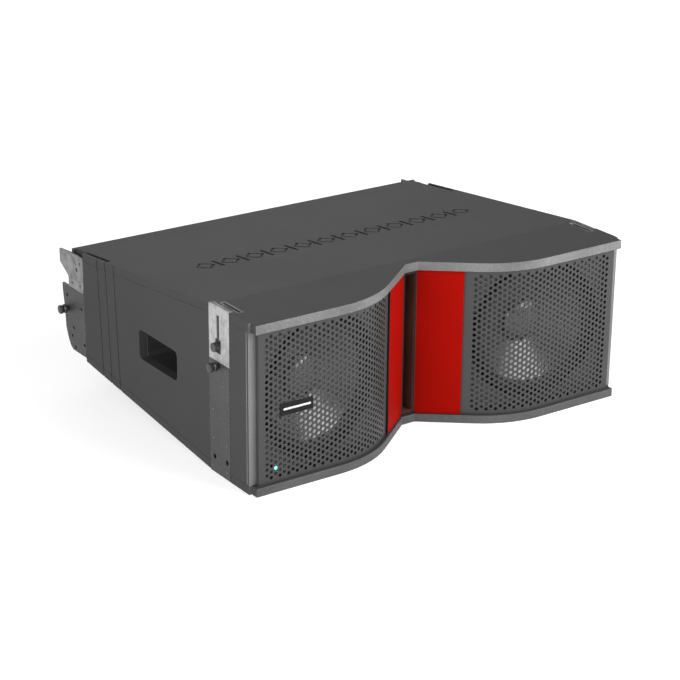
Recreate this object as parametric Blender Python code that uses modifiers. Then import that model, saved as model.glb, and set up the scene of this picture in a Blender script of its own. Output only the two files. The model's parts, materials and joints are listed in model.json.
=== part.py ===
"""A line array speaker: twin ten-inch woofers beside a central horn, with flying hardware.

Pieces are placed in cabinet coordinates: X to the right, Y back from the plane of the front
lips, and Z up from mid height. The empty cabinet_frame carries them into the world, whose
origin is under the middle of the whole object, at the level of the lower lip.
"""
import math

import bmesh
import bpy
from mathutils import Matrix, Vector

# Cabinet, in metres
WIDTH = 0.750
HEIGHT = 0.290            # lip to lip
REAR_HEIGHT = 0.192       # at the back panel
CABINET_DEPTH = 0.600
LEVEL_DEPTH = 0.120       # stretch behind the lips before top and bottom taper
PLY = 0.015
SIDE_SETBACK = 0.015      # side panels stand back from the lips
LIP_INSET = 0.005         # lips end short of the side panels' outer faces
GAP = 0.0003              # between pieces that touch
WELD = 0.00002            # corners closer than this are one
PASS = 0.01               # how far a cutter runs past what it cuts

# Front edge of the top and bottom in plan: flat, then an arc, then straight to the slot
SHOULDER_INSET = 0.168    # from a side face to the arc's centre
SHOULDER_RADIUS = 0.185
FLARE_ANGLE = math.radians(38)
SLOT_HALF = 0.013
ARC_STEPS = 7

# Grilles, horn flares and waveguide
GRILLE_SETBACK = 0.007
GRILLE_SHEET = 0.0015
GRILLE_EDGE_INSET = 0.0135             # from a side face
FLARE_SETBACK = 0.003
FLARE_THICKNESS = 0.012
FLARE_EDGE_X = 0.076
WAVEGUIDE_HALF = 0.030
WAVEGUIDE_BACK = 0.230
SLOT_WALL = 0.003
SLOT_END_WALL = 0.006
SLOT_DEPTH = 0.090
THROAT_RADIUS = 0.018

# High-frequency driver, turned about its own axis with its mouth at zero
DRIVER_RADIUS = 0.060
DRIVER_DEPTH = 0.062
DRIVER_RECESS_RADIUS = 0.050
DRIVER_RECESS_DEPTH = 0.017
DIAPHRAGM_RADIUS = 0.045
DIAPHRAGM_RISE = 0.008
DIAPHRAGM_SHEET = 0.0006
DIAPHRAGM_CLEARANCE = 0.002

# Woofers and their baffles
WOOFER_INSET = 0.153      # from a side face to the woofer's centre
WOOFER_DEPTH = 0.045      # baffle face at the woofer's centre
TOE_IN = math.radians(10)
BAFFLE_PLY = 0.018
BAFFLE_INNER_X = 0.086
BASKET_RADIUS = 0.125
BASKET_FLANGE = 0.0105    # width of the rim that seats in the baffle's rebate
BASKET_RIM = 0.0015       # stands in front of the baffle
REBATE = 0.005
BASKET_WALL = 0.0037
SURROUND_WIDTH = 0.013
BASKET_SEAT_RADIUS = 0.064
BASKET_SEAT_TOP = 0.070
BASKET_DEPTH = 0.086
BASKET_SHOULDER = 0.012
BASKET_BORE = 0.032
WINDOW_WIDTH = 0.050
WINDOW_LEVELS = (-0.058, -0.024)
MOTOR_RADIUS = 0.085
MOTOR_HEIGHT = 0.0315
COIL_RADIUS = 0.0256
COIL_WALL = 0.0012
COIL_CLEARANCE = 0.0021
COIL_TOP = 0.0495
COIL_LENGTH = 0.0545
COIL_TRAVEL = 0.006
CONE_RIM_DEPTH = 0.0085
CONE_NECK_DEPTH = 0.0505
CONE_SHEET = 0.0015
DUST_CAP_RADIUS = 0.037
DUST_CAP_RISE = 0.012
SPIDER_LEVEL = 0.0745
SPIDER_SHEET = 0.001
SOFT_SHEET = 0.001        # surround and dust cap

# Badge and status light, on and behind the left grille
BADGE = (0.062, 0.002, 0.0205)
BADGE_PLACE = (0.0835, -0.008)         # inset from the side face, and level
BADGE_CORNER = 0.0015
LIGHT_PLACE = (0.0450, -0.1055)        # inset and level
LIGHT_RADIUS = 0.003
LIGHT_PROUD = 0.001

# Side handles
HANDLE_SPAN = (0.234, 0.359)
HANDLE_LEVELS = (-0.0275, 0.0245)
HANDLE_CORNER = 0.009
CUP_DEPTH = 0.070
CUP_WALL = 0.003
CUP_FLANGE = 0.012

# Upright grooves in the sides
GROOVES = (-0.164, -0.134, -0.105)     # from the back panel's face
GROOVE_SIZE = (0.0025, 0.0035)
GROOVE_LEAN = math.radians(3.4)

# Front flying hardware
RAIL_SPAN = (0.071, 0.131)
RAIL_WALL = 0.0025
RAIL_CHEEK = 0.003
RAIL_END = 0.0005         # short of the lips' outer faces
RIG_PLATE_HEIGHT = 0.092
LINK_SHEET = 0.005
LINK_HEIGHT = 0.173
LINK_SLOT_CLEARANCE = 0.0015    # round the lock pin, in the slot that is open at the foot
KEY_Y = 0.104
KEY_SLOT = 0.008
KEY_EYE = 0.016
KEY_DROPS = (0.078, 0.054, 0.014)      # eye's foot, eye's top and slot's top, below the rail's end
LINK_KNOB_RADIUS = 0.0075
LINK_KNOB_HEIGHT = 0.009
LINK_HOLES = ((0.118, 0.013), (0.080, 0.011))      # depth, and drop from the link's top
RAIL_HOLES = ((0.118, 0.028), (0.080, 0.030))      # depth, and rise from the rail's foot
PIN_RADIUS = 0.004
PIN_CLEARANCE = 0.0005
PIN_KNOB_RADIUS = 0.008
PIN_KNOB_LENGTH = 0.016
PIN_KNOB_ROUNDING = 0.002
PIN_CHAMFER = 0.001
PIN_STANDOFF = 0.002
FRONT_PIN_DROP = 0.007    # below the keyhole plate's foot

# Rear flying hardware
RIG_REACH = 0.040         # furthest behind the back panel
REAR_SPAN_START = -0.048  # depths of the rear hardware are measured from the back panel's face
REAR_SHEET = 0.004
BRACKET_WIDTH = 0.045
BRACKET_SIDE = ((-0.048, 0.024), (0.033, 0.024), (0.033, 0.013), (0.029, -0.010), (0.0245, -0.058),
                (0.017, -0.077), (0.010, -0.088), (0.001, -0.094), (-0.048, -0.094))
BRACKET_HOLES = ((0.016, 0.005), (-0.004, -0.051), (0.002, -0.068), (-0.008, -0.086),
                 (-0.035, -0.007), (-0.043, -0.072))
BRACKET_HOLE_RADIUS = 0.0035
UPPER_PLATE_SIDE = ((-0.045, 0.0245), (0.009, 0.0245), (0.009, 0.043), (RIG_REACH, 0.062),
                    (RIG_REACH, 0.086), (0, 0.090), (-0.045, 0.090))
UPPER_PLATE_HOLE = (-0.022, 0.063)
REAR_LINK_SPAN = (-0.038, -0.006)
REAR_LINK_SHEET = 0.005
REAR_LINK_LEVELS = (-0.030, 0.088)
REAR_PIN = (0.014, -0.019)

# Amplifier module in the back
AMP_PLATE = (0.330, 0.003, 0.150)
AMP_PLATE_CORNER = 0.006
AMP_CUTOUT = (0.300, 0.126)
HEAT_SINK = (0.130, 0.018, 0.110)
HEAT_SINK_X = -0.075
HEAT_SINK_BASE = 0.005
FIN_COUNT = 9
BOARD = (0.280, 0.002, 0.110)
BOARD_STANDOFF = 0.012
SUPPLY = (0.180, 0.050, 0.090)
SOCKET_FLANGE = (0.026, 0.002, 0.031)
SOCKET_BODY_RADIUS = 0.011
SOCKET_BODY_DEPTH = 0.0085
SOCKETS = {
    "power_inlet": (0.030, -0.040, 0.0085),
    "power_outlet": (0.065, -0.040, 0.0085),
    "signal_inlet": (0.100, -0.040, 0.0095),
    "signal_outlet": (0.135, -0.040, 0.0095),
}
SOCKET_RECESS = 0.007
LATCH = (0.006, 0.0015, 0.004)
SWITCH = (0.020, 0.010, 0.012)
SWITCH_PLACE = (0.035, 0.030)
SWITCH_SLOPE = math.radians(8)
SWITCH_PROUD = 0.001
KNOB_PLACE = (0.105, 0.030)
KNOB_RADIUS = 0.010
KNOB_LENGTH = 0.014
KNOB_EDGE = 0.001
KNOB_SHAFT = (0.003, 0.012)            # radius and length

# Brace across the cabinet
BRACE_DEPTH = 0.400
BRACE_HALF_HEIGHT = 0.030

RAIL_DEPTH = 2 * RAIL_WALL + LINK_SHEET + 3 * GAP
RAIL_TOP = HEIGHT / 2 - RAIL_END
FRONT_PIN_LEVEL = RAIL_TOP - RIG_PLATE_HEIGHT - FRONT_PIN_DROP
TAPER = math.atan((HEIGHT - REAR_HEIGHT) / 2 / (CABINET_DEPTH - LEVEL_DEPTH))
HALF = WIDTH / 2
SHOULDER_X = HALF - SHOULDER_INSET
WOOFER_X = HALF - WOOFER_INSET
BADGE_CENTRE = (BADGE_PLACE[0] - HALF, BADGE_PLACE[1])
LIGHT_CENTRE = (LIGHT_PLACE[0] - HALF, LIGHT_PLACE[1])
SIDE_INNER = HALF - PLY
ROOF = HEIGHT / 2 - PLY
OVERALL_DEPTH = CABINET_DEPTH + RIG_REACH
BACK_INNER = CABINET_DEPTH - PLY
CUTOUT_RADIUS = BASKET_RADIUS - BASKET_FLANGE
BASKET_MOUTH = CUTOUT_RADIUS - GAP - BASKET_WALL
CONE_RADIUS = BASKET_MOUTH - SURROUND_WIDTH
ROUND = 28                # sides of a large turned piece
DOME_STEPS = 4
SMALL_ROUND = 16          # sides of a pin, a knob or their holes
HOLE_ROUND = 12           # sides of a spare bracket hole
SOCKET_ROUND = 24

# Local axes of a flat outline drawn in each plane, as the columns of a matrix
PLANES = {
    "XY": Matrix(((1, 0, 0), (0, 1, 0), (0, 0, 1))).to_4x4(),
    "YZ": Matrix(((0, 0, 1), (1, 0, 0), (0, 1, 0))).to_4x4(),
    "XZ": Matrix(((1, 0, 0), (0, 0, -1), (0, 1, 0))).to_4x4(),
}


def clear_scene():
    for obj in list(bpy.data.objects):
        bpy.data.objects.remove(obj)


def make_collection(name):
    collection = bpy.data.collections.new(name)
    bpy.context.scene.collection.children.link(collection)
    return collection


def make_empty(name, location, rotation=(0, 0, 0), parent=None):
    empty = bpy.data.objects.new(name, None)
    empty.location = location
    empty.rotation_euler = rotation
    empty.parent = parent
    PARTS.objects.link(empty)
    return empty


def make_material(name, colour, roughness, metallic=0.0):
    material = bpy.data.materials.new(name)
    material.use_nodes = True
    shader = material.node_tree.nodes["Principled BSDF"]
    shader.inputs["Base Color"].default_value = (*colour, 1)
    shader.inputs["Roughness"].default_value = roughness
    shader.inputs["Metallic"].default_value = metallic
    return material


def make_object(name, mesh, parent=None):
    obj = bpy.data.objects.new(name, mesh)
    obj.parent = parent or CABINET
    PARTS.objects.link(obj)
    return obj


def paint(obj, material):
    obj.data.materials.clear()
    obj.data.materials.append(material)
    return obj


def mesh_from(bm, name):
    bmesh.ops.recalc_face_normals(bm, faces=bm.faces)
    mesh = bpy.data.meshes.new(name)
    bm.to_mesh(mesh)
    bm.free()
    return mesh


def box(name, low, high, parent=None):
    """A box between two corners, given in any order."""
    low, high = Vector(low), Vector(high)
    size = Vector([abs(b - a) for a, b in zip(low, high)])
    place = Matrix.Translation((low + high) / 2) @ Matrix.Diagonal(size.to_4d())
    bm = bmesh.new()
    bmesh.ops.create_cube(bm, size=1, matrix=place)
    return make_object(name, mesh_from(bm, name), parent)


def cylinder(name, radius, start, end, segments=SMALL_ROUND, parent=None):
    """A cylinder between two points."""
    start, end = Vector(start), Vector(end)
    axis = end - start
    place = Matrix.Translation((start + end) / 2) @ axis.to_track_quat("Z", "Y").to_matrix().to_4x4()
    bm = bmesh.new()
    bmesh.ops.create_cone(bm, cap_ends=True, segments=segments, radius1=radius, radius2=radius,
                          depth=axis.length, matrix=place)
    return make_object(name, mesh_from(bm, name), parent)


def plate(name, plane, outline, levels, holes=(), parent=None):
    """A flat outline, with any holes, drawn as a filled curve and extruded between two levels."""
    low, high = sorted(levels)
    curve = bpy.data.curves.new(name, "CURVE")
    curve.dimensions = "2D"
    curve.fill_mode = "BOTH"
    curve.extrude = (high - low) / 2
    for points in (outline, *holes):
        spline = curve.splines.new("POLY")
        spline.points.add(len(points) - 1)
        spline.use_cyclic_u = True
        for point, (u, v) in zip(spline.points, points):
            point.co = (u, v, 0, 1)
    drawn = bpy.data.objects.new(name + "_outline", curve)
    PARTS.objects.link(drawn)
    evaluated = drawn.evaluated_get(bpy.context.evaluated_depsgraph_get())
    flat = bpy.data.meshes.new_from_object(evaluated)
    bm = bmesh.new()
    bm.from_mesh(flat)
    bmesh.ops.remove_doubles(bm, verts=bm.verts, dist=WELD)
    axes = PLANES[plane]
    bmesh.ops.transform(bm, matrix=Matrix.Translation(axes.col[2].to_3d() * (low + high) / 2
                                                      * (-1 if plane == "XZ" else 1)) @ axes, verts=bm.verts)
    bpy.data.objects.remove(drawn)
    return make_object(name, mesh_from(bm, name), parent)


def turned(name, profile, closed, parent, segments=ROUND):
    """A profile of (radius, height) pairs swept round its parent's Z axis."""
    mesh = bpy.data.meshes.new(name)
    points = [(radius, 0, height) for radius, height in profile]
    edges = [(i, i + 1) for i in range(len(points) - 1)]
    if closed:
        edges.append((len(points) - 1, 0))
    mesh.from_pydata(points, edges, [])
    obj = make_object(name, mesh, parent)
    screw = obj.modifiers.new("Screw", "SCREW")
    screw.steps = screw.render_steps = segments
    screw.use_merge_vertices = True
    screw.merge_threshold = WELD
    screw.use_smooth_shade = True
    return obj


def cut(obj, cutter, operation="DIFFERENCE"):
    """Cut with, join or keep the space of another object, which becomes a hidden guide."""
    modifier = obj.modifiers.new(cutter.name, "BOOLEAN")
    modifier.operation = operation
    modifier.object = cutter
    modifier.solver = "EXACT"
    if cutter.name not in CUTTERS.objects:
        CUTTERS.objects.link(cutter)
        PARTS.objects.unlink(cutter)
        cutter.hide_render = True
        cutter.display_type = "WIRE"
    return obj


def rounded_rectangle(low, high, corner, steps=3):
    """Outline points of a rectangle with round corners."""
    points = []
    corners = ((high[0], high[1], 0), (low[0], high[1], 90), (low[0], low[1], 180), (high[0], low[1], 270))
    for u, v, start in corners:
        centre_u = u - math.copysign(corner, u - (low[0] + high[0]) / 2)
        centre_v = v - math.copysign(corner, v - (low[1] + high[1]) / 2)
        for step in range(steps + 1):
            angle = math.radians(start + 90 * step / steps)
            points.append((centre_u + corner * math.cos(angle), centre_v + corner * math.sin(angle)))
    return points


def circle(centre, radius, steps=SMALL_ROUND):
    return [(centre[0] + radius * math.cos(math.tau * i / steps),
             centre[1] + radius * math.sin(math.tau * i / steps)) for i in range(steps)]


def outer_level(depth):
    """Height of the top's outer face at a depth behind the lips."""
    return HEIGHT / 2 - max(0, depth - LEVEL_DEPTH) * math.tan(TAPER)


def inner_level(depth):
    """Height of the top's inner face at a depth behind the lips."""
    sloped = HEIGHT / 2 - PLY / math.cos(TAPER) - (depth - LEVEL_DEPTH) * math.tan(TAPER)
    return min(ROOF, sloped)


def inner_kink():
    """Depth at which the inner face starts to slope."""
    return LEVEL_DEPTH - PLY * math.tan(TAPER / 2)


def inside_outline(start, end, margin=GAP):
    """Outline in YZ of the space between the top and bottom, less a margin."""
    kink = inner_kink()
    upper = [(start, ROOF - margin)]
    if end > kink:
        upper.append((kink, ROOF - margin))
    upper.append((end, inner_level(end) - margin))
    return upper + [(y, -z) for y, z in upper[::-1]]


def arc_end(setback):
    """Distance from the middle at which the shoulder arc meets the straight flare."""
    return SHOULDER_X - (SHOULDER_RADIUS - setback) * math.sin(FLARE_ANGLE)


def edge_depth(x, setback=0.0):
    """Depth of the front edge, or of a line set back behind it, at a distance from the middle."""
    x = abs(x)
    radius = SHOULDER_RADIUS - setback
    if x >= SHOULDER_X:
        return setback
    if x >= arc_end(setback):
        return SHOULDER_RADIUS - math.sqrt(radius ** 2 - (SHOULDER_X - x) ** 2)
    straight = SHOULDER_RADIUS - radius * math.cos(FLARE_ANGLE)
    return straight + (arc_end(setback) - x) * math.tan(FLARE_ANGLE)


def behind(points):
    """Side-view points measured from the back panel's face, as depths from the lips."""
    return [(CABINET_DEPTH + y, z) for y, z in points]


def edge_line(start, end, setback=0.0):
    """Points of the front edge between two distances from the middle, on the right side."""
    radius = SHOULDER_RADIUS - setback
    arc = [SHOULDER_X - radius * math.sin(FLARE_ANGLE * i / ARC_STEPS) for i in range(ARC_STEPS, -1, -1)]
    stations = [start, *(x for x in arc if start < x < end), end]
    return [(x, edge_depth(x, setback)) for x in stations]


def strip_outline(side, start, end, setback, thickness):
    """Plan outline of a sheet that follows the front edge on one side."""
    front = edge_line(start, end, setback)
    back = edge_line(start, end, setback + thickness)
    return [(side * x, y) for x, y in front + back[::-1]]


def inset_box(name, side, insets, depths, levels):
    """A box measured inward from one side face of the cabinet."""
    low = (side * (HALF - insets[0]), depths[0], levels[0])
    high = (side * (HALF - insets[1]), depths[1], levels[1])
    return box(name, low, high)


def side_of(side):
    return "left" if side < 0 else "right"


def make_edge_cutters(side):
    """Grooves and rig recesses that cross the side and the edges of the top and bottom."""
    tall = (-HEIGHT, HEIGHT)
    name = side_of(side)
    cutters = [
        inset_box(f"rail_recess_{name}", side, (-PASS, RAIL_DEPTH + GAP),
                  (RAIL_SPAN[0] - GAP, RAIL_SPAN[1] + GAP), tall),
        inset_box(f"bracket_recess_{name}", side, (-PASS, REAR_SHEET + GAP),
                  (CABINET_DEPTH + REAR_SPAN_START - GAP, CABINET_DEPTH + PASS), tall),
        inset_box(f"rear_link_pocket_{name}", side, (-PASS, REAR_SHEET + REAR_LINK_SHEET + 3 * GAP),
                  (CABINET_DEPTH + REAR_LINK_SPAN[0] - GAP, CABINET_DEPTH + REAR_LINK_SPAN[1] + GAP), tall),
    ]
    width, depth = GROOVE_SIZE
    for index, y in enumerate(GROOVES):
        groove = inset_box(f"groove_{index}_{name}", side, (-PASS, depth), (-width / 2, width / 2), tall)
        groove.location = (0, CABINET_DEPTH + y, 0)
        groove.rotation_euler = (-GROOVE_LEAN, 0, 0)
        cutters.append(groove)
    return cutters


def make_cabinet():
    edge_cutters = {side: make_edge_cutters(side) for side in (-1, 1)}
    lip_end = HALF - LIP_INSET
    half_plan = edge_line(SLOT_HALF, lip_end) + [(lip_end, SIDE_SETBACK), (HALF, SIDE_SETBACK),
                                                 (HALF, CABINET_DEPTH)]
    plan = half_plan + [(-x, y) for x, y in half_plan[::-1]]
    far = CABINET_DEPTH + PASS
    board = [(-PASS, HEIGHT / 2), (LEVEL_DEPTH, HEIGHT / 2), (far, outer_level(far)),
             (far, inner_level(far)), (inner_kink(), ROOF), (-PASS, ROOF)]
    for name, sign in (("top_panel", 1), ("bottom_panel", -1)):
        panel = plate(name, "XY", plan, (sign * ROOF / 2, sign * HEIGHT))
        slab = plate(name + "_slab", "YZ", [(y, sign * z) for y, z in board], (-WIDTH, WIDTH))
        cut(panel, slab, "INTERSECT")
        for cutters in edge_cutters.values():
            for cutter in cutters:
                cut(panel, cutter)
        paint(panel, BLACK_PLY)

    outline = inside_outline(SIDE_SETBACK, CABINET_DEPTH)
    handle = rounded_rectangle((HANDLE_SPAN[0], HANDLE_LEVELS[0]), (HANDLE_SPAN[1], HANDLE_LEVELS[1]),
                               HANDLE_CORNER)
    for side in (-1, 1):
        name = "side_panel_" + side_of(side)
        panel = plate(name, "YZ", outline, (side * SIDE_INNER, side * HALF), [handle])
        for cutter in edge_cutters[side]:
            cut(panel, cutter)
        paint(panel, BLACK_PLY)

    inside = SIDE_INNER - GAP
    rear = plate("rear_panel", "YZ", rear_outline(), (-inside, inside))
    half_w, half_h = AMP_CUTOUT[0] / 2, AMP_CUTOUT[1] / 2
    far = CABINET_DEPTH + PASS
    cut(rear, box("amp_cutout", (-half_w, BACK_INNER - PASS, -half_h), (half_w, far, half_h)))
    paint(rear, BLACK_PLY)

    brace = box("cross_brace", (-inside, BRACE_DEPTH, -BRACE_HALF_HEIGHT),
                (inside, BRACE_DEPTH + PLY, BRACE_HALF_HEIGHT))
    paint(brace, BARE_PLY)


def rear_outline():
    """Section of the back panel, whose edges follow the taper."""
    upper = [(BACK_INNER, inner_level(BACK_INNER) - GAP), (CABINET_DEPTH, inner_level(CABINET_DEPTH) - GAP)]
    return upper + [(y, -z) for y, z in upper[::-1]]


def make_handle(side):
    """A cup fixed behind the side panel's handle hole, with a flange against the panel."""
    name = side_of(side)
    low = (HANDLE_SPAN[0] - CUP_WALL, HANDLE_LEVELS[0] - CUP_WALL)
    high = (HANDLE_SPAN[1] + CUP_WALL, HANDLE_LEVELS[1] + CUP_WALL)
    start = SIDE_INNER - GAP
    cup = plate("handle_cup_" + name, "YZ", rounded_rectangle(low, high, HANDLE_CORNER + CUP_WALL),
                (side * start, side * (start - CUP_DEPTH)))
    rim_low = [value - CUP_FLANGE for value in low]
    rim_high = [value + CUP_FLANGE for value in high]
    flange = plate("cup_flange_" + name, "YZ", rounded_rectangle(rim_low, rim_high, HANDLE_CORNER),
                   (side * start, side * (start - CUP_WALL)))
    hollow = plate("cup_hollow_" + name, "YZ",
                   rounded_rectangle((HANDLE_SPAN[0], HANDLE_LEVELS[0]), (HANDLE_SPAN[1], HANDLE_LEVELS[1]),
                                     HANDLE_CORNER),
                   (side * HALF, side * (start - CUP_DEPTH + CUP_WALL)))
    cut(cup, flange, "UNION")
    cut(cup, hollow)
    paint(cup, BLACK_PLASTIC)


def baffle_depth(x):
    """Depth of a baffle's face at a distance from the middle."""
    return WOOFER_DEPTH + (WOOFER_X - x) * math.tan(TOE_IN)


def make_baffle(side, woofer):
    """The toed-in board behind a grille, with a rebated hole for the woofer."""
    thickness = BAFFLE_PLY / math.cos(TOE_IN)
    ends = [(x, baffle_depth(x)) for x in (BAFFLE_INNER_X, SIDE_INNER - GAP)]
    outline = ends + [(x, y + thickness) for x, y in ends[::-1]]
    name = side_of(side)
    baffle = plate("baffle_" + name, "XY", [(side * x, y) for x, y in outline], (-ROOF + GAP, ROOF - GAP))
    rebate = BASKET_RADIUS + GAP
    hole = turned("woofer_hole_" + name, [
        (0, PASS), (rebate, PASS), (rebate, -REBATE), (CUTOUT_RADIUS, -REBATE),
        (CUTOUT_RADIUS, -2 * BAFFLE_PLY), (0, -2 * BAFFLE_PLY)], False, woofer)
    cut(baffle, hole)
    paint(baffle, BLACK_PLY)


def dome_shell(radius, rim, rise, sheet):
    """Profile of a thin dome: over its crown to the rim, then back under it to the axis."""
    angles = [math.radians(90 * step / DOME_STEPS) for step in range(DOME_STEPS + 1)]
    crown = [(radius * math.sin(angle), rim + rise * math.cos(angle)) for angle in angles]
    return crown + [(r, z - sheet) for r, z in crown[::-1]]


def cone_level(radius):
    """Height of the cone's front face at a radius."""
    share = (radius - COIL_RADIUS) / (CONE_RADIUS - COIL_RADIUS)
    return -CONE_NECK_DEPTH + share * (CONE_NECK_DEPTH - CONE_RIM_DEPTH)


def make_woofer(side):
    """A ten-inch driver about its own axis, with zero height on the baffle's face."""
    name = side_of(side)
    woofer = make_empty("woofer_axis_" + name, (side * WOOFER_X, WOOFER_DEPTH, 0),
                        (math.radians(90), 0, -side * TOE_IN), CABINET)
    make_baffle(side, woofer)

    throat = CUTOUT_RADIUS - GAP
    seat = BASKET_SEAT_RADIUS
    basket = turned("woofer_basket_" + name, [
        (BASKET_RADIUS, BASKET_RIM), (BASKET_RADIUS, GAP - REBATE), (throat, GAP - REBATE),
        (throat, -BASKET_SHOULDER), (seat, -BASKET_SEAT_TOP), (seat, -BASKET_DEPTH),
        (BASKET_BORE, -BASKET_DEPTH), (BASKET_BORE, BASKET_WALL - BASKET_DEPTH),
        (seat - BASKET_WALL, BASKET_WALL - BASKET_DEPTH), (seat - BASKET_WALL, -BASKET_SEAT_TOP),
        (BASKET_MOUTH, -BASKET_SHOULDER), (BASKET_MOUTH, BASKET_RIM)], True, woofer)
    for turn in range(3):
        window = box(f"basket_window_{turn}_{name}", (-BASKET_RADIUS, -WINDOW_WIDTH / 2, WINDOW_LEVELS[0]),
                     (BASKET_RADIUS, WINDOW_WIDTH / 2, WINDOW_LEVELS[1]), woofer)
        window.rotation_euler = (0, 0, math.radians(60 * turn))
        cut(basket, window)
    paint(basket, CAST_METAL)

    top = -BASKET_DEPTH - GAP
    pole = COIL_RADIUS - COIL_WALL / 2 - COIL_CLEARANCE
    gap_wall = COIL_RADIUS + COIL_WALL / 2 + COIL_CLEARANCE
    gap_floor = -COIL_TOP - COIL_LENGTH - COIL_TRAVEL - COIL_CLEARANCE
    motor = turned("woofer_motor_" + name, [
        (0, top), (pole, top), (pole, gap_floor), (gap_wall, gap_floor), (gap_wall, top),
        (MOTOR_RADIUS, top), (MOTOR_RADIUS, top - MOTOR_HEIGHT), (0, top - MOTOR_HEIGHT)], False, woofer)
    paint(motor, DARK_STEEL)

    coil_in, coil_out = COIL_RADIUS - COIL_WALL / 2, COIL_RADIUS + COIL_WALL / 2
    coil = turned("voice_coil_" + name, [
        (coil_out, -COIL_TOP), (coil_out, -COIL_TOP - COIL_LENGTH),
        (coil_in, -COIL_TOP - COIL_LENGTH), (coil_in, -COIL_TOP)], True, woofer)
    paint(coil, COPPER)

    neck = coil_out + GAP
    cone = turned("woofer_cone_" + name, [
        (CONE_RADIUS, cone_level(CONE_RADIUS)), (CONE_RADIUS, cone_level(CONE_RADIUS) - CONE_SHEET),
        (neck, cone_level(neck) - CONE_SHEET), (neck, cone_level(neck))], True, woofer)
    paint(cone, PULP)

    rim = cone_level(DUST_CAP_RADIUS) + GAP + SOFT_SHEET
    shell = dome_shell(DUST_CAP_RADIUS, rim, DUST_CAP_RISE, SOFT_SHEET)
    paint(turned("dust_cap_" + name, shell, False, woofer), PULP)

    roll_in, roll_out = CONE_RADIUS + GAP, BASKET_MOUTH - GAP
    centre, radius = (roll_in + roll_out) / 2, (roll_out - roll_in) / 2
    arc = [math.radians(angle) for angle in (0, 45, 90, 135, 180)]
    outer = [(centre + radius * math.cos(a), -CONE_RIM_DEPTH + radius * math.sin(a)) for a in arc]
    inner = [(centre + (radius - SOFT_SHEET) * math.cos(a),
              -CONE_RIM_DEPTH + (radius - SOFT_SHEET) * math.sin(a)) for a in arc]
    surround = turned("woofer_surround_" + name, outer[::-1] + inner, True, woofer)
    paint(surround, RUBBER)

    spider = turned("woofer_spider_" + name, [
        (seat - BASKET_WALL - GAP, -SPIDER_LEVEL), (seat - BASKET_WALL - GAP, -SPIDER_LEVEL - SPIDER_SHEET),
        (coil_out + GAP, -SPIDER_LEVEL - SPIDER_SHEET), (coil_out + GAP, -SPIDER_LEVEL)], True, woofer)
    paint(spider, CLOTH)


def make_horn():
    """Red flares, the slotted waveguide between and behind them, and its driver."""
    for side in (-1, 1):
        outline = strip_outline(side, SLOT_HALF, FLARE_EDGE_X, FLARE_SETBACK, FLARE_THICKNESS)
        flare = plate("horn_flare_" + side_of(side), "XY", outline, (-ROOF + GAP, ROOF - GAP))
        paint(flare, RED_PAINT)

    behind = FLARE_SETBACK + FLARE_THICKNESS + GAP
    nose = SLOT_HALF - GAP
    half = [(nose, edge_depth(nose, FLARE_SETBACK)), (nose, edge_depth(nose, behind)),
            (WAVEGUIDE_HALF, edge_depth(WAVEGUIDE_HALF, behind)), (WAVEGUIDE_HALF, WAVEGUIDE_BACK)]
    body = plate("waveguide_body", "XY", half + [(-x, y) for x, y in half[::-1]], (-HEIGHT, HEIGHT))
    far = WAVEGUIDE_BACK + PASS
    cut(body, plate("waveguide_profile", "YZ", inside_outline(0, far), (-HALF, HALF)), "INTERSECT")
    slot_x = nose - SLOT_WALL
    start = half[0][1]
    slot = inside_outline(start - PASS, start + SLOT_DEPTH, GAP + SLOT_END_WALL)
    cut(body, plate("waveguide_slot", "YZ", slot, (-slot_x, slot_x)))
    mouth = start + SLOT_DEPTH - PASS
    cut(body, cylinder("waveguide_throat", THROAT_RADIUS, (0, mouth, 0), (0, far, 0), ROUND))
    paint(body, BROWN_PLASTIC)

    driver = make_empty("driver_axis", (0, WAVEGUIDE_BACK + GAP, 0), (math.radians(90), 0, 0), CABINET)
    recess = DRIVER_RECESS_DEPTH - DRIVER_DEPTH
    motor = turned("driver_motor", [
        (DRIVER_RADIUS, 0), (DRIVER_RADIUS, -DRIVER_DEPTH), (DRIVER_RECESS_RADIUS, -DRIVER_DEPTH),
        (DRIVER_RECESS_RADIUS, recess), (THROAT_RADIUS, recess), (THROAT_RADIUS, 0)], True, driver)
    paint(motor, DARK_STEEL)
    rim = recess - DIAPHRAGM_CLEARANCE - DIAPHRAGM_RISE
    shell = dome_shell(DIAPHRAGM_RADIUS, rim, DIAPHRAGM_RISE, DIAPHRAGM_SHEET)
    paint(turned("driver_diaphragm", shell, False, driver), TITANIUM)


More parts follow.
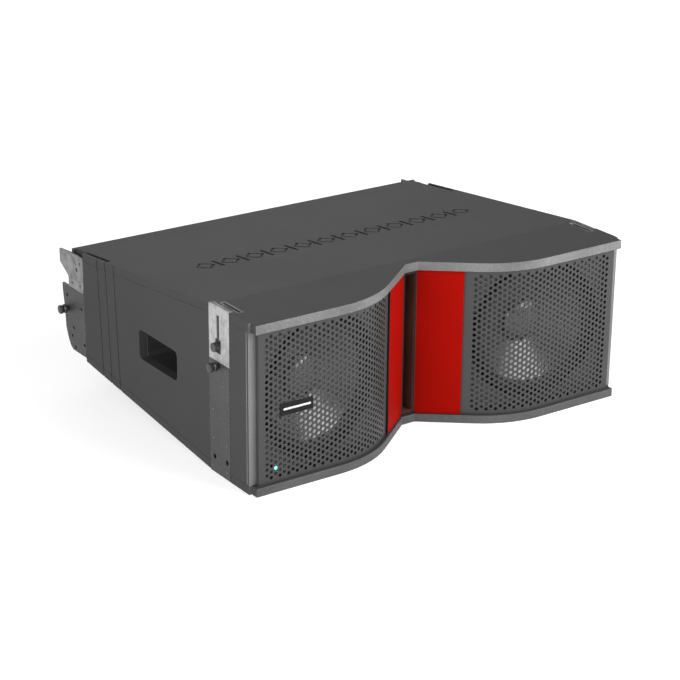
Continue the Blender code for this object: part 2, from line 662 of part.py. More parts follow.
def make_grilles():
    """Plain curved sheets, folded back to the side panels; the left one has a hole for the status light."""
    outer = HALF - GRILLE_EDGE_INSET
    inner = FLARE_EDGE_X + GAP
    fold = SIDE_SETBACK - GAP
    front = edge_line(inner, outer, GRILLE_SETBACK)
    back = edge_line(inner, outer - GRILLE_SHEET, GRILLE_SETBACK + GRILLE_SHEET)
    section = front + [(outer, fold), (outer - GRILLE_SHEET, fold)] + back[::-1]
    for side in (-1, 1):
        outline = [(side * x, y) for x, y in section]
        grille = plate("grille_" + side_of(side), "XY", outline, (-ROOF + GAP, ROOF - GAP))
        if side < 0:
            x, z = LIGHT_CENTRE
            cut(grille, cylinder("light_hole", LIGHT_RADIUS + GAP, (x, 0, z), (x, 2 * GRILLE_SETBACK, z)))
        paint(grille, GREY_PAINT)

    width, thickness, height = BADGE
    x, z = BADGE_CENTRE
    face = GRILLE_SETBACK - GAP
    outline = rounded_rectangle((x - width / 2, z - height / 2), (x + width / 2, z + height / 2),
                                BADGE_CORNER)
    paint(plate("badge_plate", "XZ", outline, (face - thickness, face)), BLACK_PLASTIC)
    x, z = LIGHT_CENTRE
    front = GRILLE_SETBACK - LIGHT_PROUD
    foot = baffle_depth(abs(x) + LIGHT_RADIUS) - GAP
    light = cylinder("status_light", LIGHT_RADIUS, (x, front, z), (x, foot, z))
    paint(light, LIGHT)


def make_front_rig(side):
    """Rail, keyhole plate, rising link and lock pin let into one side behind the front lip."""
    name = side_of(side)
    end = RAIL_TOP
    plate_foot = end - RIG_PLATE_HEIGHT
    near, far = RAIL_SPAN
    cavity = (near + RAIL_CHEEK, far - RAIL_CHEEK)
    back = RAIL_DEPTH - RAIL_WALL
    rail = inset_box("front_rail_" + name, side, (0, RAIL_DEPTH), RAIL_SPAN, (-end, end))
    cut(rail, inset_box("rail_cavity_" + name, side, (RAIL_WALL, back), cavity, (-HEIGHT, HEIGHT)))
    cut(rail, inset_box("rail_window_" + name, side, (-PASS, RAIL_WALL + GAP), (near - PASS, far + PASS),
                        (plate_foot - GAP, HEIGHT)))
    for index, (y, rise) in enumerate(RAIL_HOLES):
        z = rise - end
        cut(rail, cylinder(f"rail_hole_{index}_{name}", PIN_RADIUS + PIN_CLEARANCE,
                           (side * (HALF + PASS), y, z), (side * (HALF - RAIL_WALL - PIN_CLEARANCE), y, z)))
    pin_hole = cylinder("front_pin_hole_" + name, PIN_RADIUS + PIN_CLEARANCE,
                        (side * (HALF + PASS), KEY_Y, FRONT_PIN_LEVEL),
                        (side * (HALF - RAIL_WALL - PIN_CLEARANCE), KEY_Y, FRONT_PIN_LEVEL))
    cut(rail, pin_hole)
    paint(rail, BLACK_STEEL)

    low, step, high = (end - drop for drop in KEY_DROPS)
    eye, slot = KEY_EYE / 2, KEY_SLOT / 2
    keyhole = [(KEY_Y - eye, low), (KEY_Y + eye, low), (KEY_Y + eye, step), (KEY_Y + slot, step),
               (KEY_Y + slot, high), (KEY_Y - slot, high), (KEY_Y - slot, step), (KEY_Y - eye, step)]
    sheet = [(near, plate_foot), (far, plate_foot), (far, end), (near, end)]
    cover = plate("front_rig_plate_" + name, "YZ", sheet, (side * HALF, side * (HALF - RAIL_WALL)), [keyhole])
    paint(cover, BRIGHT_STEEL)

    start = RAIL_WALL + GAP
    link_y = (cavity[0] + GAP, cavity[1] - GAP)
    groove = PIN_RADIUS + LINK_SLOT_CLEARANCE
    holes = [circle((y, end - drop), PIN_RADIUS + PIN_CLEARANCE) for y, drop in LINK_HOLES]
    foot, crotch = end - LINK_HEIGHT, FRONT_PIN_LEVEL + groove
    bar = [(link_y[0], foot), (KEY_Y - groove, foot), (KEY_Y - groove, crotch), (KEY_Y + groove, crotch),
           (KEY_Y + groove, foot), (link_y[1], foot), (link_y[1], end), (link_y[0], end)]
    face = HALF - start
    link = plate("front_link_" + name, "YZ", bar, (side * face, side * (face - LINK_SHEET)), holes)
    neck_z = (low + step) / 2
    foot, crown = HALF + PIN_CLEARANCE, HALF + PIN_CLEARANCE + LINK_KNOB_HEIGHT
    neck = cylinder("link_neck_" + name, KEY_SLOT / 2 - PIN_CLEARANCE,
                    (side * (face - LINK_SHEET / 2), KEY_Y, neck_z),
                    (side * (foot + crown) / 2, KEY_Y, neck_z))
    head = cylinder("link_head_" + name, LINK_KNOB_RADIUS, (side * foot, KEY_Y, neck_z),
                    (side * crown, KEY_Y, neck_z))
    cut(link, neck, "UNION")
    cut(link, head, "UNION")
    paint(link, DARK_STEEL)

    make_lock_pin("front_lock_pin_" + name, side, KEY_Y, FRONT_PIN_LEVEL, back - PIN_CLEARANCE)


def make_lock_pin(name, side, depth, level, reach):
    """A quick-release pin: a knob outside the cabinet on a shaft that reaches inward."""
    axis = make_empty(name + "_axis", (side * HALF, depth, level), (0, side * math.radians(90), 0), CABINET)
    tip, soft = PIN_CHAMFER, PIN_KNOB_ROUNDING
    start, stop = PIN_STANDOFF, PIN_STANDOFF + PIN_KNOB_LENGTH
    pin = turned(name, [
        (0, stop), (PIN_KNOB_RADIUS - soft, stop), (PIN_KNOB_RADIUS, stop - soft), (PIN_KNOB_RADIUS, start),
        (PIN_RADIUS, start), (PIN_RADIUS, tip - reach), (PIN_RADIUS - tip, -reach), (0, -reach)],
        False, axis, SMALL_ROUND)
    paint(pin, BLACK_PLASTIC)


def make_rear_rig(side):
    """Splay bracket, upper plate, rising link and lock pin at one rear corner."""
    name = side_of(side)
    outer, inner = HALF - REAR_SHEET, HALF - BRACKET_WIDTH
    web = (CABINET_DEPTH + GAP, CABINET_DEPTH + GAP + REAR_SHEET)
    start = CABINET_DEPTH + REAR_SPAN_START
    reach = CABINET_DEPTH + max(y for y, z in BRACKET_SIDE)
    section = [(HALF, start), (HALF, reach), (outer, reach), (outer, web[1]),
               (inner + REAR_SHEET, web[1]), (inner + REAR_SHEET, reach), (inner, reach), (inner, web[0]),
               (outer, web[0]), (outer, start)]
    section = [(side * x, y) for x, y in section]
    bracket = plate("rear_bracket_" + name, "XY", section, (-HEIGHT / 2, HEIGHT / 2))
    wide = (side * (inner - PASS), side * (HALF + PASS))
    profile = behind((y - PASS if y == REAR_SPAN_START else y, z) for y, z in BRACKET_SIDE)
    cut(bracket, plate("bracket_side_" + name, "YZ", profile, wide), "INTERSECT")
    for index, (y, z) in enumerate(behind(BRACKET_HOLES)):
        hole = f"bracket_hole_{index}_{name}"
        cut(bracket, cylinder(hole, BRACKET_HOLE_RADIUS, (wide[0], y, z), (wide[1], y, z), HOLE_ROUND))
    (y, z), eye = behind((REAR_PIN, UPPER_PLATE_HOLE))
    pin_hole = PIN_RADIUS + PIN_CLEARANCE
    cut(bracket, cylinder("rear_pin_hole_" + name, pin_hole, (wide[0], y, z), (wide[1], y, z)))
    paint(bracket, BLACK_STEEL)

    upper = plate("rear_rig_plate_" + name, "YZ", behind(UPPER_PLATE_SIDE), (side * HALF, side * outer),
                  [circle(eye, PIN_RADIUS)])
    paint(upper, BRIGHT_STEEL)

    near, far = REAR_LINK_SPAN
    low, high = REAR_LINK_LEVELS
    bar = behind(((near, low), (far, low), (far, high), (near, high)))
    link = plate("rear_link_" + name, "YZ", bar,
                 (side * (outer - GAP), side * (outer - GAP - REAR_LINK_SHEET)), [circle(eye, PIN_RADIUS)])
    paint(link, DARK_STEEL)
    make_lock_pin("rear_lock_pin_" + name, side, y, z, BRACKET_WIDTH + PIN_CLEARANCE)


def make_amplifier():
    """Amplifier module: outer plate with sockets and controls, heat sink, board and supply."""
    width, thickness, height = AMP_PLATE
    face = CABINET_DEPTH + GAP
    outside = face + thickness
    holes = [circle((x, z), SOCKET_BODY_RADIUS + GAP) for x, z, bore in SOCKETS.values()]
    switch_x, switch_z = SWITCH_PLACE
    clear = (SWITCH[0] / 2 + 2 * PIN_CLEARANCE, SWITCH[2] / 2 + 2 * PIN_CLEARANCE)
    holes.append([(switch_x - clear[0], switch_z - clear[1]), (switch_x + clear[0], switch_z - clear[1]),
                  (switch_x + clear[0], switch_z + clear[1]), (switch_x - clear[0], switch_z + clear[1])])
    shaft, shaft_length = KNOB_SHAFT
    holes.append(circle(KNOB_PLACE, shaft + PIN_CLEARANCE))
    outline = rounded_rectangle((-width / 2, -height / 2), (width / 2, height / 2), AMP_PLATE_CORNER)
    paint(plate("amp_plate", "XZ", outline, (face, outside), holes), GREY_PAINT)

    sink_w, sink_d, sink_h = HEAT_SINK
    left = HEAT_SINK_X - sink_w / 2
    pitch = sink_w / (2 * FIN_COUNT - 1)
    root, crest = outside + GAP + HEAT_SINK_BASE, outside + GAP + sink_d
    comb = [(left, outside + GAP)]
    for fin in range(FIN_COUNT):
        start = left + 2 * fin * pitch
        comb += [(start, root), (start, crest), (start + pitch, crest), (start + pitch, root)]
    comb = [comb[0], *comb[2:-1], (left + sink_w, outside + GAP)]
    paint(plate("amp_heat_sink", "XY", comb, (-sink_h / 2, sink_h / 2)), ALUMINIUM)

    board_w, board_t, board_h = BOARD
    board_face = BACK_INNER - BOARD_STANDOFF
    board = box("amp_circuit_board", (-board_w / 2, board_face - board_t, -board_h / 2),
                (board_w / 2, board_face, board_h / 2))
    paint(board, BOARD_GREEN)
    supply_w, supply_d, supply_h = SUPPLY
    supply_back = board_face - board_t - GAP
    supply = box("power_supply", (-supply_w / 2, supply_back - supply_d, -supply_h / 2),
                 (supply_w / 2, supply_back, supply_h / 2))
    paint(supply, DARK_STEEL)

    flange_w, flange_t, flange_h = SOCKET_FLANGE
    for name, (x, z, bore) in SOCKETS.items():
        start = outside + GAP
        front = start + flange_t
        socket = box(name, (x - flange_w / 2, start, z - flange_h / 2),
                     (x + flange_w / 2, front, z + flange_h / 2))
        cut(socket, cylinder(name + "_body", SOCKET_BODY_RADIUS, (x, start + flange_t / 2, z),
                             (x, start - SOCKET_BODY_DEPTH, z), SOCKET_ROUND), "UNION")
        cut(socket, cylinder(name + "_recess", bore, (x, front - SOCKET_RECESS, z),
                             (x, front + PASS, z), SOCKET_ROUND))
        paint(socket, BLACK_PLASTIC)
    x, z, bore = SOCKETS["signal_inlet"]
    top = z + flange_h / 2 - GAP
    face = outside + GAP + flange_t + GAP
    latch_w, latch_t, latch_h = LATCH
    latch = box("signal_inlet_latch", (x - latch_w / 2, face, top - latch_h),
                (x + latch_w / 2, face + latch_t, top))
    paint(latch, BRIGHT_STEEL)

    make_switch(outside)
    x, z = KNOB_PLACE
    axis = make_empty("level_knob_axis", (x, outside, z), (math.radians(-90), 0, 0), CABINET)
    knob = turned("level_knob", [
        (0, KNOB_LENGTH), (KNOB_RADIUS - KNOB_EDGE, KNOB_LENGTH), (KNOB_RADIUS, KNOB_LENGTH - KNOB_EDGE),
        (KNOB_RADIUS, KNOB_EDGE), (shaft, KNOB_EDGE), (shaft, -shaft_length), (0, -shaft_length)],
        False, axis, SMALL_ROUND)
    paint(knob, BLACK_PLASTIC)


def make_switch(outside):
    """A rocker whose raised half faces out; it turns about an upright axis through its middle."""
    width, depth, height = SWITCH
    x, z = SWITCH_PLACE
    axis = make_empty("power_switch_axis", (x, outside, z), (0, 0, 0), CABINET)
    rise = width / 2 * math.tan(SWITCH_SLOPE)
    section = [(-width / 2, -depth / 2), (width / 2, -depth / 2), (width / 2, SWITCH_PROUD + 2 * rise),
               (0, SWITCH_PROUD), (-width / 2, SWITCH_PROUD)]
    rocker = plate("power_switch", "XY", section, (-height / 2, height / 2), parent=axis)
    paint(rocker, BLACK_PLASTIC)


clear_scene()
PARTS = make_collection("line_array_speaker")
CUTTERS = make_collection("cutters")
CABINET = make_empty("cabinet_frame", (0, -OVERALL_DEPTH / 2, HEIGHT / 2))

BLACK_PLY = make_material("black_painted_ply", (0.055, 0.056, 0.058), 0.62)
BLACK_STEEL = make_material("black_painted_steel", (0.055, 0.056, 0.058), 0.6)
GREY_PAINT = make_material("grey_paint", (0.12, 0.122, 0.125), 0.5, 0.3)
RED_PAINT = make_material("red_painted_wood", (0.45, 0.012, 0.006), 0.45)
BROWN_PLASTIC = make_material("brown_plastic", (0.035, 0.016, 0.012), 0.6)
BLACK_PLASTIC = make_material("black_plastic", (0.02, 0.02, 0.021), 0.45)
BARE_PLY = make_material("bare_ply", (0.45, 0.30, 0.16), 0.7)
BRIGHT_STEEL = make_material("bright_steel", (0.55, 0.56, 0.57), 0.35, 1.0)
DARK_STEEL = make_material("dark_steel", (0.10, 0.10, 0.105), 0.45, 0.9)
CAST_METAL = make_material("cast_metal", (0.08, 0.08, 0.085), 0.5, 0.7)
ALUMINIUM = make_material("aluminium", (0.35, 0.35, 0.36), 0.4, 1.0)
TITANIUM = make_material("titanium", (0.5, 0.48, 0.45), 0.3, 1.0)
COPPER = make_material("copper", (0.6, 0.28, 0.14), 0.35, 1.0)
PULP = make_material("paper_pulp", (0.05, 0.05, 0.05), 0.85)
CLOTH = make_material("treated_cloth", (0.30, 0.20, 0.10), 0.9)
RUBBER = make_material("rubber", (0.03, 0.03, 0.03), 0.7)
BOARD_GREEN = make_material("board_green", (0.02, 0.12, 0.05), 0.5)
LIGHT = make_material("status_light", (0.35, 0.9, 1.0), 0.2)

make_cabinet()
make_horn()
make_grilles()
make_amplifier()
for SIDE in (-1, 1):
    make_woofer(SIDE)
    make_handle(SIDE)
    make_front_rig(SIDE)
    make_rear_rig(SIDE)
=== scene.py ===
"""Looks of a line array speaker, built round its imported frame.

World X is to the right, Y to the back and Z up, in metres. The lips of the cabinet stand at FRONT,
and its middle height is MIDDLE.
"""
import json
import math

import bmesh
import bpy
from mathutils import Matrix, Vector


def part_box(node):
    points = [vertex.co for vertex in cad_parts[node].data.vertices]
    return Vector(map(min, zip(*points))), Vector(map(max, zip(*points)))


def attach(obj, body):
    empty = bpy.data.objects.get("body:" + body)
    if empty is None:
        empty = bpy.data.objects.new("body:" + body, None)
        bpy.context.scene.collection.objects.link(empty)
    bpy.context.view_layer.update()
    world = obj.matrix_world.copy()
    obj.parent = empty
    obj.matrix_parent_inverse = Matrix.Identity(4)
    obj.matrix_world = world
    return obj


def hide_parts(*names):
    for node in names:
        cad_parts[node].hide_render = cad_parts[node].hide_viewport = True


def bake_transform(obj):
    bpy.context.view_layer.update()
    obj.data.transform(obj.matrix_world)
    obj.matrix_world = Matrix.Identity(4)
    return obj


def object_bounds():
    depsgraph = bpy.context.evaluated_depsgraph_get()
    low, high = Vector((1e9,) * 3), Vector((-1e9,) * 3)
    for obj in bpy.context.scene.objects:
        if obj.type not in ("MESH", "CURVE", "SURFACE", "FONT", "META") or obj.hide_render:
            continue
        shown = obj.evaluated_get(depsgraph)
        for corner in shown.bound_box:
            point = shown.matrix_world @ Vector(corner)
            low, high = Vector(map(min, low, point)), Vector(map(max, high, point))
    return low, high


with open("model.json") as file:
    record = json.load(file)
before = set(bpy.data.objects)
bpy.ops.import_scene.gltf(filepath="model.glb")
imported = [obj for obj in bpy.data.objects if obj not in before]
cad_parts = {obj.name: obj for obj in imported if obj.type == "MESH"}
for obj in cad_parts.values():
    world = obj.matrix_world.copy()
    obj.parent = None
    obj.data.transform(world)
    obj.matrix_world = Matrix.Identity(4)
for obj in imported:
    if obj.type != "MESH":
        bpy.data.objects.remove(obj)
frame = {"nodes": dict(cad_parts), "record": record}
CAD_LOW, CAD_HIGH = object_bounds()
SLOT_OF = {part["node"]: part["material_slot"] for part in frame["record"]["subparts"]}
BODY_OF = {node: body for body, nodes in frame["record"]["behaviour"]["bodies"].items() for node in nodes}
SIDES = {"left": -1, "right": 1}

TOP_LOW, TOP_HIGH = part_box("top_panel")
FRONT = TOP_LOW.y
HALF_WIDTH = TOP_HIGH.x
MIDDLE = (CAD_LOW.z + CAD_HIGH.z) / 2
HALF_HEIGHT = CAD_HIGH.z - MIDDLE

# Plan of the front edge: a straight flare, a round shoulder, then straight to the side
SHOULDER_X = HALF_WIDTH - 0.168
SHOULDER_RADIUS = 0.185
FLARE_ANGLE = math.radians(38)

LEVEL_DEPTH = 0.120
TAPER = math.atan(0.049 / 0.480)
FRONT_EDGE_REACH = 0.130

# Perforated grilles: upright columns of round holes, each half a pitch above its neighbour
HOLE_PITCH = 0.0100
COLUMN_PITCH = 0.0082
HOLE_RADIUS = 0.0032
HOLE_SIDES = 12
GRILLE_MARGIN = 0.0050
GRILLE_SHEET = 0.0015
INNER_MARGIN = 0.0120
OUTER_MARGIN = 0.0083

SIDE_SETBACK = 0.015
LIP_ROUND = 0.0011
BOARD_ROUND = 0.0009
EDGE_ROUND = {
    "handle_cup": 0.0012, "front_rail": 0.0004, "front_rig_plate": 0.0003, "front_link": 0.0005,
    "rear_bracket": 0.0007, "rear_rig_plate": 0.0006, "rear_link": 0.0006, "rear_panel": 0.0008,
    "waveguide_body": 0.0008, "amp_plate": 0.0004, "amp_heat_sink": 0.0005, "badge_plate": 0.0006,
}
SOCKET_ROUND = 0.0005

# Engraved band across the top, by distance behind the lips, and the cutters' reach above the face
LOZENGES = 12
LOZENGE_X = 0.0190
LOZENGE_Y = 0.0225
BAND_START = -0.262
BAND_PITCH = 0.0488
BAND_DEPTH = 0.327
ENGRAVED = 0.0020
ABOVE = 0.01

# Dark slot near each rear corner of the top
REAR_SLOT_INSET = 0.0078
REAR_SLOT_END = 0.5635
REAR_SLOT_LENGTH = 0.094

# Lined slot in the top beside each front rigging plate
LINK_SLOT_INSET = 0.0175
LINK_SLOT_DEPTH = 0.0900
LINK_SLOT_SIZE = (0.0100, 0.0560)
LINER_SHEET = 0.0014

# Woofers, about an axis that starts on the baffle's face
WOOFER_X = HALF_WIDTH - 0.153
WOOFER_DEPTH = 0.045
TOE_IN = math.radians(10)
BOLTS = 8
BOLT_CIRCLE = 0.1182
GASKET_FACE = 0.0036
ROUND = 96
SECTORS = 16

CAMERA_PLACE = (-1.952, -2.825, 1.448)
CAMERA_LENS = 110.56
CAMERA_AZIMUTH = math.radians(-34.78)
CAMERA_ELEVATION = math.radians(21.715)
CAMERA_ROLL = math.radians(0.5625)
CAMERA_SHIFT = -0.0012

HORIZON_LIGHT, ZENITH_LIGHT, BACKDROP_LIGHT = 0.62, 0.34, 1.05
FLOOR_GLOW_NEAR, FLOOR_GLOW_FAR = 0.58, 1.0
# Name, direction, distance, size and power of each light
LIGHTS = (
    ("front_softbox", (0.52, -0.71, 0.49), 2.6, (2.5, 1.5), 104.0),
    ("left_softbox", (-0.88, -0.38, 0.25), 2.8, (1.8, 1.2), 80.0),
    ("back_softbox", (0.35, 0.85, 0.45), 3.0, (2.0, 1.0), 18.0),
)

NODE_SPACING = 220


# ---------------------------------------------------------------- shader groups and materials

def add(tree, kind, settings=(), **inputs):
    """A node with some settings and inputs; an input is a value or another node's output."""
    node = tree.nodes.new(kind)
    node.location.x = NODE_SPACING * len(tree.nodes)
    for key, value in dict(settings).items():
        setattr(node, key, value)
    for key, value in inputs.items():
        socket = node.inputs[int(key[1:])] if key[0] == "_" else node.inputs[key.replace("_", " ")]
        if isinstance(value, bpy.types.NodeSocket):
            tree.links.new(value, socket)
        else:
            socket.default_value = value
    return node


def new_group(name, inputs, outputs):
    """A shader group, its inputs and its outputs. Inputs are given by their defaults."""
    group = bpy.data.node_groups.new(name, "ShaderNodeTree")
    kinds = {4: "NodeSocketColor", 3: "NodeSocketVector"}
    for key, default in inputs.items():
        kind = kinds[len(default)] if isinstance(default, tuple) else "NodeSocketFloat"
        group.interface.new_socket(key, in_out="INPUT", socket_type=kind).default_value = default
    for key in outputs:
        kind = "NodeSocketColor" if key == "Colour" else "NodeSocketFloat"
        group.interface.new_socket(key, in_out="OUTPUT", socket_type=kind)
    return group, group.nodes.new("NodeGroupInput").outputs, group.nodes.new("NodeGroupOutput").inputs


def math_node(tree, operation, a, b=0.0, clamp=False):
    settings = {"operation": operation, "use_clamp": clamp}
    return add(tree, "ShaderNodeMath", settings, _0=a, _1=b).outputs[0]


def remap(tree, value, low, high, to_low=0.0, to_high=1.0):
    """Value from low..high to to_low..to_high, held at the ends."""
    return add(tree, "ShaderNodeMapRange", {"clamp": True}, _0=value, _1=low, _2=high, _3=to_low,
               _4=to_high).outputs[0]


def blend_colour(tree, share, a, b, mode="MIX"):
    settings = {"data_type": "RGBA", "blend_type": mode}
    return add(tree, "ShaderNodeMix", settings, _0=share, _6=a, _7=b).outputs[2]


def object_place(tree):
    """Place on the object, in metres from its own origin."""
    return add(tree, "ShaderNodeTexCoord").outputs["Object"]


def noise(tree, where, scale, detail=2.0, **rest):
    return add(tree, "ShaderNodeTexNoise", Vector=where, Scale=scale, Detail=detail, **rest).outputs["Fac"]


def vector_math(tree, operation, a, b, output=0):
    return add(tree, "ShaderNodeVectorMath", {"operation": operation}, _0=a, _1=b).outputs[output]


def grey_level(tree, level):
    return add(tree, "ShaderNodeCombineColor", Red=level, Green=level, Blue=level).outputs[0]


def feed(tree, sockets, **sources):
    """Links sources to sockets by name."""
    for key, source in sources.items():
        tree.links.new(source, sockets[key.replace("_", " ")])


def make_grain_group():
    """Rolled or sprayed paint: fine orange peel, scattered flecks and broad uneven patches."""
    group, given, out = new_group("paint_grain", {
        "Colour": (0.05, 0.05, 0.05, 1), "Fleck Colour": (0.1, 0.1, 0.1, 1),
        "Fleck Share": 0.5, "Grain Scale": 900.0, "Patch Scale": 9.0,
        "Patchiness": 0.2, "Roughness": 0.6,
    }, ("Colour", "Roughness", "Height"))
    where = object_place(group)
    fine = noise(group, where, given["Grain Scale"])
    cells = add(group, "ShaderNodeTexVoronoi", Vector=where, Scale=given["Grain Scale"])
    broad = noise(group, where, given["Patch Scale"], 4.0)
    flecks = math_node(group, "MULTIPLY", remap(group, fine, 0.50, 0.68), given["Fleck Share"])
    patches = remap(group, broad, 0.32, 0.68, -1.0, 1.0)
    level = math_node(group, "ADD", math_node(group, "MULTIPLY", patches, given["Patchiness"]), 1.0)
    flecked = blend_colour(group, flecks, given["Colour"], given["Fleck Colour"])
    rough = math_node(group, "MULTIPLY", patches, 0.02)
    peel = math_node(group, "MULTIPLY", cells.outputs["Distance"], 0.6)
    feed(group, out, Colour=blend_colour(group, 1.0, flecked, grey_level(group, level), "MULTIPLY"),
         Roughness=math_node(group, "ADD", rough, given["Roughness"], True),
         Height=math_node(group, "ADD", peel, fine))
    return group


def make_wear_group():
    """Paint rubbed thin along sharp edges, in broken runs."""
    group, given, out = new_group("edge_wear", {
        "Colour": (0.05, 0.05, 0.05, 1), "Worn Colour": (0.2, 0.2, 0.2, 1),
        "Reach": 0.0012, "Amount": 0.6,
    }, ("Colour", "Mask"))
    rounded = add(group, "ShaderNodeBevel", {"samples": 4}, Radius=given["Reach"]).outputs[0]
    true = add(group, "ShaderNodeNewGeometry").outputs["Normal"]
    edge = remap(group, vector_math(group, "DOT_PRODUCT", rounded, true, "Value"), 0.995, 0.86)
    runs = remap(group, noise(group, object_place(group), 70.0, 6.0, Roughness=0.7), 0.42, 0.60)
    mask = math_node(group, "MULTIPLY", math_node(group, "MULTIPLY", edge, runs), given["Amount"])
    feed(group, out, Colour=blend_colour(group, mask, given["Colour"], given["Worn Colour"]), Mask=mask)
    return group


def make_dust_group():
    """Settled dust on what faces up, thicker in patches."""
    group, given, out = new_group("settled_dust", {
        "Colour": (0.05, 0.05, 0.05, 1), "Dust Colour": (0.22, 0.21, 0.20, 1),
        "Amount": 0.1,
    }, ("Colour", "Mask"))
    normal = add(group, "ShaderNodeNewGeometry").outputs["Normal"]
    flat = remap(group, add(group, "ShaderNodeSeparateXYZ", Vector=normal).outputs["Z"], 0.35, 0.98)
    thick = remap(group, noise(group, object_place(group), 23.0, 7.0, Roughness=0.65), 0.35, 0.75)
    mask = math_node(group, "MULTIPLY", math_node(group, "MULTIPLY", flat, thick), given["Amount"])
    feed(group, out, Colour=blend_colour(group, mask, given["Colour"], given["Dust Colour"]), Mask=mask)
    return group


def make_brush_group():
    """Rolled or brushed metal: streaks along one direction and dull blooms."""
    group, given, out = new_group("brushed_streaks", {
        "Colour": (0.5, 0.5, 0.5, 1), "Dull Colour": (0.3, 0.3, 0.3, 1),
        "Stretch": (1.0, 1.0, 0.04), "Streak Scale": 700.0,
        "Bloom": 0.4, "Roughness": 0.35,
    }, ("Colour", "Roughness", "Height"))
    where = object_place(group)
    drawn = vector_math(group, "MULTIPLY", where, given["Stretch"])
    streaks = noise(group, drawn, given["Streak Scale"], 3.0)
    blooms = noise(group, where, 55.0, 5.0)
    dull = math_node(group, "MULTIPLY", remap(group, blooms, 0.42, 0.66), given["Bloom"])
    line = grey_level(group, remap(group, streaks, 0.35, 0.65, 0.82, 1.12))
    lined = blend_colour(group, 1.0, given["Colour"], line, "MULTIPLY")
    spread = math_node(group, "ADD", remap(group, streaks, 0.3, 0.7, -0.05, 0.08), dull)
    spread = math_node(group, "MULTIPLY", spread, 0.6)
    feed(group, out, Colour=blend_colour(group, dull, lined, given["Dull Colour"]),
         Roughness=math_node(group, "ADD", spread, given["Roughness"], True), Height=streaks)
    return group


GRAIN, WEAR, DUST, BRUSH = make_grain_group(), make_wear_group(), make_dust_group(), make_brush_group()


def start_material(name, **constants):
    """A material and its shader nodes; constants go straight on the shader's sockets."""
    material = bpy.data.materials.new(name)
    material.use_nodes = True
    tree = material.node_tree
    for key, value in constants.items():
        tree.nodes["Principled BSDF"].inputs[key.replace("_", " ")].default_value = value
    return material, tree


def end_material(material, colours, roughness, height=None, strength=0.0, distance=0.0):
    """Links colour, roughness and relief to a material's shader."""
    tree = material.node_tree
    sockets = tree.nodes["Principled BSDF"].inputs
    feed(tree, sockets, Base_Color=colours, Roughness=roughness)
    if height:
        bump = add(tree, "ShaderNodeBump", Height=height, Strength=strength, Distance=distance)
        feed(tree, sockets, Normal=bump.outputs[0])
    return material


def use(tree, group, **inputs):
    """One group placed in a material with its own values."""
    return add(tree, "ShaderNodeGroup", {"node_tree": group}, **inputs).outputs


def painted(name, colour, fleck, worn=None, fleck_share=0.5, grain=900.0, patches=0.15, rough=0.6, wear=0.5,
            dust=0.0, bump=0.25, metallic=0.0, coat=0.0, gloss=0.5):
    """A painted finish: grain, then worn edges, then dust."""
    material, tree = start_material(name, Metallic=metallic, Coat_Weight=coat, Specular_IOR_Level=gloss)
    base = use(tree, GRAIN, Colour=(*colour, 1), Fleck_Colour=(*fleck, 1), Fleck_Share=fleck_share,
               Grain_Scale=grain, Patchiness=patches, Roughness=rough)
    colours = base["Colour"]
    if worn:
        colours = use(tree, WEAR, Colour=colours, Worn_Colour=(*worn, 1), Amount=wear)["Colour"]
    if dust:
        colours = use(tree, DUST, Colour=colours, Amount=dust)["Colour"]
    return end_material(material, colours, base["Roughness"], base["Height"], bump, 0.0006)


def metal(name, colour, dull, stretch=(1, 1, 0.04), scale=700.0, bloom=0.4, rough=0.35, worn=None,
          metallic=1.0):
    """A bare metal finish with streaks, dull blooms and brighter edges."""
    material, tree = start_material(name, Metallic=metallic)
    base = use(tree, BRUSH, Colour=(*colour, 1), Dull_Colour=(*dull, 1), Stretch=stretch,
               Streak_Scale=scale, Bloom=bloom, Roughness=rough)
    colours = base["Colour"]
    if worn:
        colours = use(tree, WEAR, Colour=colours, Worn_Colour=(*worn, 1), Amount=0.7)["Colour"]
    return end_material(material, colours, base["Roughness"], base["Height"], 0.08, 0.0002)


def make_birch():
    """Unpainted plywood: long grain figure on the face."""
    material, tree = start_material("bare_birch_ply")
    drawn = vector_math(tree, "MULTIPLY", object_place(tree), (3.0, 40.0, 40.0))
    figure = noise(tree, drawn, 4.0, 8.0, Distortion=0.6)
    colours = blend_colour(tree, remap(tree, figure, 0.35, 0.65), (0.42, 0.27, 0.13, 1),
                           (0.58, 0.42, 0.25, 1))
    return end_material(material, colours, remap(tree, figure, 0.3, 0.7, 0.6, 0.75), figure, 0.1, 0.0004)


def make_cone_paper():
    """Coated paper pulp: felted flecks, radial fibres lost in a thin dark varnish."""
    material, tree = start_material("coated_paper_pulp", Coat_Weight=1.0, Coat_Roughness=0.29,
                                    Coat_IOR=2.2, Specular_IOR_Level=0.8)
    base = use(tree, GRAIN, Colour=(0.026, 0.026, 0.027, 1), Fleck_Colour=(0.07, 0.07, 0.07, 1),
               Fleck_Share=0.4, Grain_Scale=520.0, Patch_Scale=30.0, Patchiness=0.2, Roughness=0.36)
    colours = use(tree, DUST, Colour=base["Colour"], Amount=0.06)["Colour"]
    return end_material(material, colours, base["Roughness"], base["Height"], 0.2, 0.0004)


def waves_along(tree, axis, scale):
    return add(tree, "ShaderNodeTexWave", {"bands_direction": axis}, Vector=object_place(tree),
               Scale=scale).outputs["Fac"]


def make_treated_cloth():
    """Woven cloth stiffened with resin."""
    material, tree = start_material("treated_cloth_weave", Sheen_Weight=0.2)
    weave = math_node(tree, "MAXIMUM", waves_along(tree, "X", 400.0), waves_along(tree, "Z", 400.0))
    colours = blend_colour(tree, weave, (0.10, 0.055, 0.02, 1), (0.30, 0.19, 0.09, 1))
    return end_material(material, colours, remap(tree, weave, 0, 1, 0.8, 0.6), weave, 0.4, 0.0004)


